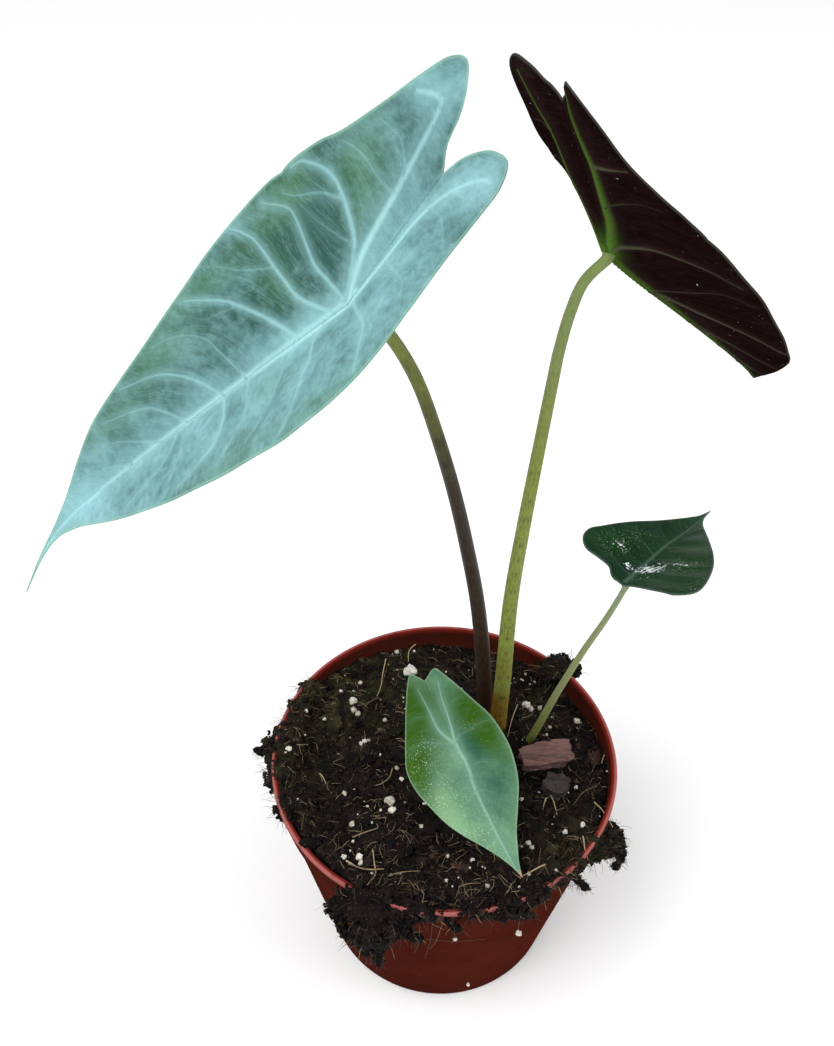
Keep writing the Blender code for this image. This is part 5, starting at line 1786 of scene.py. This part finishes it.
@dataclass
class PeatDressing:
    """All that lies on the soil: clumps, crumbs, fibres, roots and perlite."""

    peat: Finish
    fibre: Finish
    stone: Finish
    rim: float = 57.6
    crumbs: int = 6000
    fibres: int = 3600
    rim_fibres: int = 1700
    lumps: int = 260
    fine_grains: int = 120
    front_limit: float = -66.5
    seed: int = 11

    def clumps(self) -> Object:
        """Return the clumps of peat as one piece."""
        points, faces, tones, moss = [], [], [], []
        ball, ball_faces = rough_ball(5, 0, 0)
        for index, (centre, half) in enumerate(CLUMPS):
            shift = Vector((index * 3.7, 7.4 * index, -3.7 * index))
            start = len(points)
            for spot in map(Vector, ball.tolist()):
                swell = 0.8 + 0.34 * noise.noise(spot * 1.9 + shift)
                world = Vector(centre) + Vector(half) * spot * swell
                rough = 0.9 * noise.fractal(world / 3.0, 0.8, 2.1, 4) + 0.6 * abs(noise.noise(world / 1.3))
                world = world + spot * rough
                points.append(tuple(world))
                tones.append(0.32 + 0.5 * noise.noise(world / 5.0))
                moss.append(mossiness(world.x, world.y))
            faces.extend([tuple(start + i for i in face) for face in ball_faces])
        return mesh_piece("peat_clumps", np.array(points) * MM, faces, [self.peat.build()],
                          {"tone": tones, "moss": moss}, smooth=80)

    def spot(self, draw: random.Random) -> tuple:
        """Return a random place on the soil's surface, in millimetres."""
        while True:
            distance = self.rim * math.sqrt(draw.random())
            angle = draw.uniform(0, 2 * math.pi)
            x, y = distance * math.cos(angle), distance * math.sin(angle)
            if draw.random() < 0.45 + 0.9 * noise.noise(Vector((x, y, 21.0)) / 7.0):
                return x, y, ground_level(x, y)

    def clump_spot(self, draw: random.Random, low: float = -0.7) -> tuple:
        """Return a random place on a clump over the rim, and the way out of it.

        Args:
            draw: the random numbers.
            low: how far down a clump the place may be, from -1 at its foot.

        Returns:
            The place in millimetres and the direction.
        """
        centre, half = CLUMPS[draw.choice(OVER_RIM)]
        while True:
            way = gust(draw, 1, 1, 1).normalized()
            if way.z > low:
                break
        return Vector(centre) + Vector(half) * way * draw.uniform(0.8, 0.98), way

    def crumb_piece(self) -> Object:
        """Return the small crumbs that lie all over the soil and the clumps."""
        draw = random.Random(self.seed)
        scatter = Scatter(1, 0.35)
        for _ in range(self.crumbs):
            x, y, z = self.spot(draw)
            size = 0.3 + 0.8 * draw.random() ** 2.5
            tone = draw.random() ** 2.2
            scatter.put(draw, (x, y, z + 0.2 * size), (size * draw.uniform(0.8, 1.5), size, size * 0.75),
                        tone, mossiness(x, y) * draw.random())
        for _ in range(self.crumbs // 2):
            spot, way = self.clump_spot(draw, -0.95)
            size = 0.35 + 0.8 * draw.random() ** 2
            half = (size * draw.uniform(0.8, 1.5), size, size * 0.8)
            scatter.put(draw, tuple(spot + 0.4 * size * way), half, draw.random() ** 2,
                        mossiness(spot.x, spot.y) * draw.random())
        return scatter.build("peat_crumbs", self.peat, 40)

    def tail_piece(self) -> Object:
        """Return the ragged strings of peat that hang from the clumps over the rim."""
        draw = random.Random(self.seed + 6)
        scatter = Scatter(1, 0.4, 60)
        for course, thick, thin in TAILS:
            line = smooth_curve(course, 0.32)
            for index, place in enumerate(line):
                radius = thick + (thin - thick) * index / (len(line) - 1)
                for _ in range(5):
                    way = gust(draw, 1, 1, 0.7).normalized()
                    spot = Vector(place) + way * radius * draw.uniform(0.3, 1.0)
                    size = 0.35 + 0.75 * draw.random() ** 2
                    scatter.put(draw, tuple(spot), (size * draw.uniform(0.8, 1.6), size, size * 0.9),
                                draw.random() ** 2)
        return scatter.build("peat_tails", self.peat, 40)

    def lump_piece(self) -> Object:
        """Return the larger lumps of peat."""
        draw = random.Random(self.seed + 1)
        scatter = Scatter(2, 0.28, 20)
        for _ in range(self.lumps):
            x, y, z = self.spot(draw)
            size = 0.9 + 1.5 * draw.random() ** 3
            scatter.put(draw, (x, y, z + 0.1 * size), (size * draw.uniform(0.9, 1.6), size, size * 0.65),
                        draw.random() ** 3, mossiness(x, y) * draw.random())
        return scatter.build("peat_lumps", self.peat, 40)

    def fibre_piece(self) -> Object:
        """Return the short fibres strewn over the soil."""
        draw = random.Random(self.seed + 2)
        strands = Strands(3)
        for _ in range(self.fibres):
            x, y, z = self.spot(draw)
            length = draw.uniform(1.8, 6.5)
            heading = draw.uniform(0, 2 * math.pi)
            course = []
            for index in range(6):
                lift = 0.25 + 0.7 * math.sin(math.pi * index / 5) * draw.random()
                course.append((x, y, max(z, ground_level(x, y)) + lift))
                heading += draw.gauss(0, 0.35)
                x += length / 5 * math.cos(heading)
                y += length / 5 * math.sin(heading)
                if math.hypot(x, y) > self.rim:
                    break
            if len(course) > 2:
                strands.put(np.array(course), draw.uniform(0.05, 0.11), 0.035, draw.random() ** 3)
        return strands.build("peat_fibres", self.fibre, 80)

    def rim_fibre_piece(self) -> Object:
        """Return the shaggy fibres that stand out of the clumps and hang from them."""
        draw = random.Random(self.seed + 3)
        strands = Strands(3)
        for _ in range(self.rim_fibres):
            spot, way = self.clump_spot(draw, -0.9)
            length = draw.uniform(2.0, 6.5)
            push = (gust(draw, 0.7, 0.7, 0.5, 0.1) + way * 0.9).normalized()
            course = [tuple(spot - way * 1.2)]
            for _ in range(5):
                spot = spot + push * (length / 5)
                push = (push + gust(draw, 0.2, 0.2, 0.15, 0.12)).normalized()
                course.append((spot.x, max(spot.y, self.front_limit), spot.z))
            strands.put(np.array(course), draw.uniform(0.06, 0.12), 0.035, 0.05 + 0.8 * draw.random() ** 2.6)
        for course, thick, thin in TAILS:
            line = smooth_curve(course, 0.5)
            for _ in range(int(3.2 * len(line))):
                share = draw.random()
                radius = thick + (thin - thick) * share
                spot = Vector(line[int(share * (len(line) - 1))])
                push = gust(draw, 0.8, 0.5, 0.6, 0.5).normalized()
                length = draw.uniform(1.5, 5.0)
                rows = [tuple(spot + push * radius * 0.3)]
                for _ in range(4):
                    spot = spot + push * (length / 4)
                    push = (push + Vector((draw.gauss(0, 0.2), draw.gauss(0, 0.15), -0.15))).normalized()
                    rows.append((spot.x, max(spot.y, self.front_limit), spot.z))
                thickness = draw.uniform(0.07, 0.14)
                strands.put(np.array(rows), thickness, 0.04, 0.05 + 0.7 * draw.random() ** 1.6)
        for course in HAIRS:
            strands.put(smooth_curve(course, 1.2), 0.14, 0.08, draw.uniform(0.4, 0.6))
        return strands.build("rim_fibres", self.fibre, 80)

    def root_piece(self) -> Object:
        """Return the long roots and twigs that the surface shows."""
        draw = random.Random(self.seed + 4)
        strands = Strands(8)
        for points in ROOTS:
            course = smooth_curve(points, 1.2)
            heights = np.array([ground_level(x, y) for x, y in course])
            arch = np.sin(np.linspace(0, math.pi, len(course))) * draw.uniform(0.5, 1.4)
            level = np.convolve(np.pad(heights, 2, mode="edge"), np.ones(5) / 5, mode="valid")
            line = np.column_stack([course, np.maximum(level, heights - 0.2) + 0.45 + arch])
            strands.put(line, draw.uniform(0.22, 0.34), 0.12, draw.uniform(0.55, 1.0))
        return strands.build("long_roots", self.fibre, 80)

    def grain_piece(self) -> Object:
        """Return the perlite grains."""
        draw = random.Random(self.seed + 5)
        scatter = Scatter(2, 0.22, 40)
        for x, y, size in GRAINS:
            z = ground_level(x, y)
            scatter.put(draw, (x, y, z + 0.55 * size), (size * 1.1, size * 0.95, size * 0.85), draw.random())
        for x, y, z, size in WALL_GRAINS:
            scatter.put(draw, (x, y, z), (size, size * 0.6, size), draw.random())
        for _ in range(self.fine_grains):
            x, y, z = self.spot(draw)
            size = 0.24 + 0.25 * draw.random()
            scatter.put(draw, (x, y, z + 0.6 * size), (size * 1.2, size, size), draw.random())
        return scatter.build("perlite_grains", self.stone, 50)

    def add(self) -> None:
        """Build all that lies on the soil."""
        for piece in (self.clumps(), self.crumb_piece(), self.tail_piece(), self.lump_piece(),
                      self.fibre_piece(), self.rim_fibre_piece(), self.root_piece(), self.grain_piece()):
            settle(piece, "soil")


@dataclass
class BarkChip:
    """A flake of bark in thin layers, with broken ends."""

    name: str
    slot: str
    centre: tuple
    size: tuple
    turn: float
    tilt: float
    skin: Finish
    layers: float = 5.0

    def build(self) -> Object:
        """Shape the flake from a block, cut fine and roughened."""
        deselect()
        bpy.ops.mesh.primitive_cube_add(size=1.0, location=(0, 0, 0))
        chip = bpy.context.object
        chip.name = self.name + "_flake"
        bpy.ops.object.mode_set(mode="EDIT")
        bpy.ops.mesh.select_all(action="SELECT")
        bpy.ops.mesh.subdivide(number_cuts=23)
        bpy.ops.object.mode_set(mode="OBJECT")
        place = (Matrix.Translation(Vector(self.centre)) @ Matrix.Rotation(math.radians(self.turn), 4, "Z")
                 @ Matrix.Rotation(math.radians(self.tilt), 4, "X"))
        shift = Vector((self.turn, 0, 0))
        for vert in chip.data.vertices:
            spot = vert.co.copy()
            narrow = 1 - 0.28 * abs(2 * spot.x) ** 3
            broad = 1 + 0.22 * noise.noise(spot * 2.3 + shift)
            wavy = 0.16 * noise.noise(Vector((spot.x * 3, spot.y * 5, 1)))
            ledge = 0.5 * round(self.layers * (spot.z + wavy))
            worn = 0.05 * noise.noise(Vector((spot.x * 9, spot.y * 9, spot.z * 20)))
            inset = 1 - 0.05 * (ledge % 1.0) - worn
            rough = Vector((spot.x * broad, spot.y * narrow * broad * inset, spot.z * broad * 0.96))
            ragged = 0.45 * noise.fractal(Vector((spot.x * 6, spot.y * 14, spot.z * 14)) + shift, 0.8, 2.0, 3)
            world = rough * Vector(self.size)
            world = world + spot.normalized() * ragged
            vert.co = (place @ world) * MM
        chip.data.materials.clear()
        chip.data.materials.append(self.skin.build())
        bpy.ops.object.shade_smooth_by_angle(angle=math.radians(45))
        return chip

    def add(self) -> None:
        """Build the chip in place of its solid."""
        settle(self.build(), self.slot, self.name)


@dataclass
class Studio:
    """The pale floor, the soft lights and the camera at the photograph's viewing angle."""

    camera_place: tuple = (-0.0106, -0.247, 0.439)
    pitch: float = 43.63
    roll: float = 0.77
    focal_pixels: float = 1200.0
    image_height: float = 1046.0
    sensor: float = 36.0
    sky: float = 0.7
    floor_size: float = 6.0
    target: tuple = (0, 0, 0.15)

    def add_camera(self) -> None:
        """Set up the camera."""
        data = bpy.data.cameras.new("camera")
        camera = bpy.data.objects.new("camera", data)
        bpy.context.scene.collection.objects.link(camera)
        camera.matrix_world = (Matrix.Translation(Vector(self.camera_place))
                               @ Matrix.Rotation(math.radians(90 - self.pitch), 4, "X")
                               @ Matrix.Rotation(math.radians(self.roll), 4, "Z"))
        data.sensor_fit = "VERTICAL"
        data.sensor_height = self.sensor
        data.sensor_width = self.sensor
        data.lens = self.focal_pixels / self.image_height * self.sensor
        data.clip_start = 0.01
        bpy.context.scene.camera = camera

    def add_floor(self) -> None:
        """Lay the floor."""
        deselect()
        bpy.ops.mesh.primitive_plane_add(size=self.floor_size, location=(0, 0, -0.0005))
        floor = bpy.context.object
        floor.name = "floor"
        floor.data.materials.append(FloorPaint().build())

    def add_light(self, name: str, place: tuple, size: float, power: float) -> None:
        """Hang one large soft light that looks at the plant.

        Args:
            name: the light's name.
            place: where it hangs.
            size: how wide it is.
            power: its power.
        """
        data = bpy.data.lights.new(name, "AREA")
        data.shape = "DISK"
        data.size = size
        data.energy = power
        light = bpy.data.objects.new(name, data)
        bpy.context.scene.collection.objects.link(light)
        way = Vector(self.target) - Vector(place)
        light.rotation_euler = way.to_track_quat("-Z", "Y").to_euler()
        light.location = place

    def add(self) -> None:
        """Build the stage."""
        self.add_camera()
        self.add_floor()
        world = bpy.data.worlds.new("studio")
        world.use_nodes = True
        background = world.node_tree.nodes["Background"]
        background.inputs["Color"].default_value = (1.0, 1.0, 1.0, 1.0)
        background.inputs["Strength"].default_value = self.sky
        bpy.context.scene.world = world
        bpy.context.scene.view_settings.view_transform = "Standard"
        self.add_light("key", (-0.7, -0.5, 1.4), size=1.1, power=16.0)
        self.add_light("fill", (1.1, -0.2, 1.0), size=1.2, power=8.0)


SILVER_UPPER = BladeSkin(
    "silver_upper", deep=shade(42, 78, 70), pale=shade(146, 196, 202), green=shade(78, 122, 76),
    rib=shade(172, 220, 222), vein=shade(150, 198, 200), glow=shade(150, 200, 204),
    margin=shade(142, 188, 166), tip=shade(150, 146, 120), vein_strength=0.72, glow_strength=0.46,
    veinlet_strength=0.13, centre_strength=0.35, margin_strength=0.5, margin_width=0.7, gloss=0.5,
    specular=0.1, contrast=1.15, cloud_scale=95.0)
SHADED_UPPER = replace(SILVER_UPPER, name="silver_upper_shaded", margin=shade(70, 84, 72), margin_width=0.5)
DARK_UNDER = BladeSkin(
    "dark_underside", deep=shade(15, 7, 6), pale=shade(32, 18, 16), green=shade(50, 98, 24),
    rib=shade(82, 116, 44), vein=shade(84, 84, 66), glow=shade(62, 46, 46), margin=shade(84, 84, 74),
    tip=shade(128, 128, 120), dust=shade(128, 140, 120), vein_strength=0.8, glow_strength=0.32,
    veinlet_strength=0.14, margin_strength=0.4, dust_share=0.5, gloss=0.46, relief=0.3, specular=0.0)
LEFT_UNDER = replace(DARK_UNDER, name="dark_underside_left", green=shade(26, 18, 12))
GREEN_UPPER = BladeSkin(
    "green_upper", deep=shade(46, 92, 77), pale=shade(134, 176, 132), green=shade(50, 88, 10),
    rib=shade(168, 204, 190), vein=shade(136, 172, 152), glow=shade(124, 172, 154),
    margin=shade(136, 164, 134), tip=shade(192, 156, 138), dust=shade(190, 208, 164), vein_strength=0.5,
    glow_strength=0.35, veinlet_strength=0.08, margin_strength=0.6, dust_share=0.4, gloss=0.42,
    specular=0.04, contrast=0.6, cloud_scale=150.0)
GLOSSY_UPPER = BladeSkin(
    "glossy_upper", deep=shade(8, 33, 17), pale=shade(35, 71, 43), green=shade(15, 56, 13),
    rib=shade(92, 122, 102), vein=shade(100, 128, 108), glow=shade(36, 66, 50), margin=shade(90, 108, 96),
    tip=shade(112, 100, 60), dust=shade(190, 208, 176), vein_strength=0.55, glow_strength=0.25,
    veinlet_strength=0.08, margin_strength=0.5, dust_share=0.32, gloss=0.3, specular=0.02)
GREEN_UNDER = BladeSkin(
    "green_underside", deep=shade(52, 66, 48), pale=shade(98, 112, 84), green=shade(90, 118, 62),
    rib=shade(140, 160, 104), vein=shade(132, 152, 100), glow=shade(112, 130, 90),
    margin=shade(110, 130, 92), tip=shade(150, 120, 100), vein_strength=0.7, glow_strength=0.3,
    veinlet_strength=0.14, margin_width=0.9, gloss=0.48, relief=0.3, specular=0.1)


def dress_corm(node: Object) -> None:
    """Give the buried corm its papery brown skin.

    Args:
        node: the corm's CAD node.
    """
    skin = BarkSkin("corm_skin", shade(70, 42, 26), shade(138, 96, 62), shade(44, 28, 20),
                    grain=(500.0, 500.0, 80.0))
    node.data.materials.clear()
    node.data.materials.append(skin.build())


def add_leaves() -> None:
    """Build the four leaves with their stalks."""
    LeafBlade("silver_blade", "blade_silver", LEFT_FORM, LEFT_VEINS, SILVER_UPPER, LEFT_UNDER,
              light=LEFT_TONE_SHEEN_AND_SHADE, green=LEFT_GREEN, dry_tip=1.5).add("blade_left")
    LeafBlade("dark_blade", "blade_underside", RIGHT_FORM, RIGHT_VEINS, SHADED_UPPER, DARK_UNDER,
              green=RIGHT_GREEN, dust=RIGHT_DUST, dry_tip=1.5,
              rim_like=Face.LOWER).add("blade_right")
    LeafBlade("small_green_blade", "blade_green", SMALL_FORM, SMALL_VEINS, GLOSSY_UPPER, GREEN_UNDER,
              light=SMALL_LIGHT, green=SMALL_GREEN, dust=SMALL_DUST, wet=SMALL_WET, dry_tip=4.0,
              spacing=0.55, thickness=0.7).add("blade_small_right")
    LeafBlade("front_blade", "blade_green", FRONT_FORM, FRONT_VEINS, GREEN_UPPER, GREEN_UNDER,
              light=FRONT_LIGHT, green=FRONT_GREEN, dust=FRONT_DUST, dry_tip=3.0, spacing=0.5,
              thickness=0.7).add("blade_front")
    LeafStalk("left_stalk", LEFT_FORM, 3.1, 1.5, (
        (16.2, 22, 74), (15.3, 24.3, 86), (12.7, 21.5, 120), (9.2, 16.5, 153), (4.6, 11, 183.2),
        (-0.2, 5.3, 210.8), (-5.5, -0.6, 236.1), (-11.1, -7.2, 259.3), (-17.4, -14.2, 277.2)),
        StalkSkin("left_stalk_skin", foot=shade(66, 46, 36), middle=shade(51, 39, 28),
                  top=shade(122, 132, 56), dash=shade(38, 27, 22), dash_share=0.5, pale_share=0.5,
                  foot_end=0.3)).add("petiole_left")
    LeafStalk("right_stalk", RIGHT_FORM, 3.3, 1.25, (
        (20.4, 16.8, 74), (19.6, 17.4, 88), (19.8, 16.2, 114.1), (19.4, 11.3, 159.1), (20.7, 5.5, 201.2),
        (23.4, -0.6, 253.7), (23.8, -4.2, 267.1), (24.9, -8, 280.7), (26.9, -10.2, 290.3)),
        StalkSkin("right_stalk_skin", foot=shade(138, 94, 30), middle=shade(132, 144, 64),
                  top=shade(126, 144, 84), dash=shade(62, 52, 24), dash_share=0.42,
                  pale_dash=shade(166, 172, 104), pale_share=0.3, foot_end=0.16),
        seat=1.4, lead=1.0, flare=0.4).add("petiole_right")
    LeafStalk("small_stalk", SMALL_FORM, 1.55, 0.85, (
        (26, 13.2, 74), (30, 11.6, 83), (33.4, 9.7, 98), (37.4, 7.3, 118), (42.9, 3.2, 144),
        (47.8, -1.4, 166.4)),
        StalkSkin("small_stalk_skin", foot=shade(122, 134, 62), middle=shade(140, 148, 100),
                  top=shade(134, 148, 112), dash=shade(92, 96, 66), dash_share=0.05,
                  pale_dash=shade(176, 180, 140), pale_share=0.2, foot_end=0.3),
        seat=1.1, lead=0.8, flare=0.4).add("petiole_small_right")
    LeafStalk("front_stalk", FRONT_FORM, 2.2, 1.2, (
        (13.2, 17, 74), (11.6, 15.4, 85), (10.4, 9, 95), (8.6, 0, 102.5)),
        StalkSkin("front_stalk_skin", foot=shade(110, 112, 60), middle=shade(128, 138, 84),
                  top=shade(128, 140, 96), dash=shade(80, 80, 50),
                  dash_share=0.05)).add("petiole_front")


def main() -> None:
    """Build the studio and every piece of the plant, in order."""
    logging.basicConfig(level=logging.INFO, format="%(name)s %(message)s")
    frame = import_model()
    SharedEffects().build()
    Studio().add()
    NurseryPot().add()
    peat, fibre, stone = PeatSkin(), FibreSkin(), StoneSkin()
    SoilBed(peat).add()
    PeatDressing(peat, fibre, stone).add()
    BarkChip("bark_chip", "bark", (35.9, 2.6, 88.6), (17.4, 8.8, 5), 14, 6,
             BarkSkin("bark_red", shade(74, 50, 46), shade(118, 84, 78), shade(36, 24, 22))).add()
    BarkChip("bark_chip_dark", "bark_dark", (38.5, -9.5, 88.2), (8, 9, 4), -24, -8,
             BarkSkin("bark_black", shade(26, 20, 19), shade(62, 50, 46), shade(14, 10, 10))).add()
    dress_corm(frame["nodes"]["corm"])
    add_leaves()


if __name__ == "__main__":
    main()
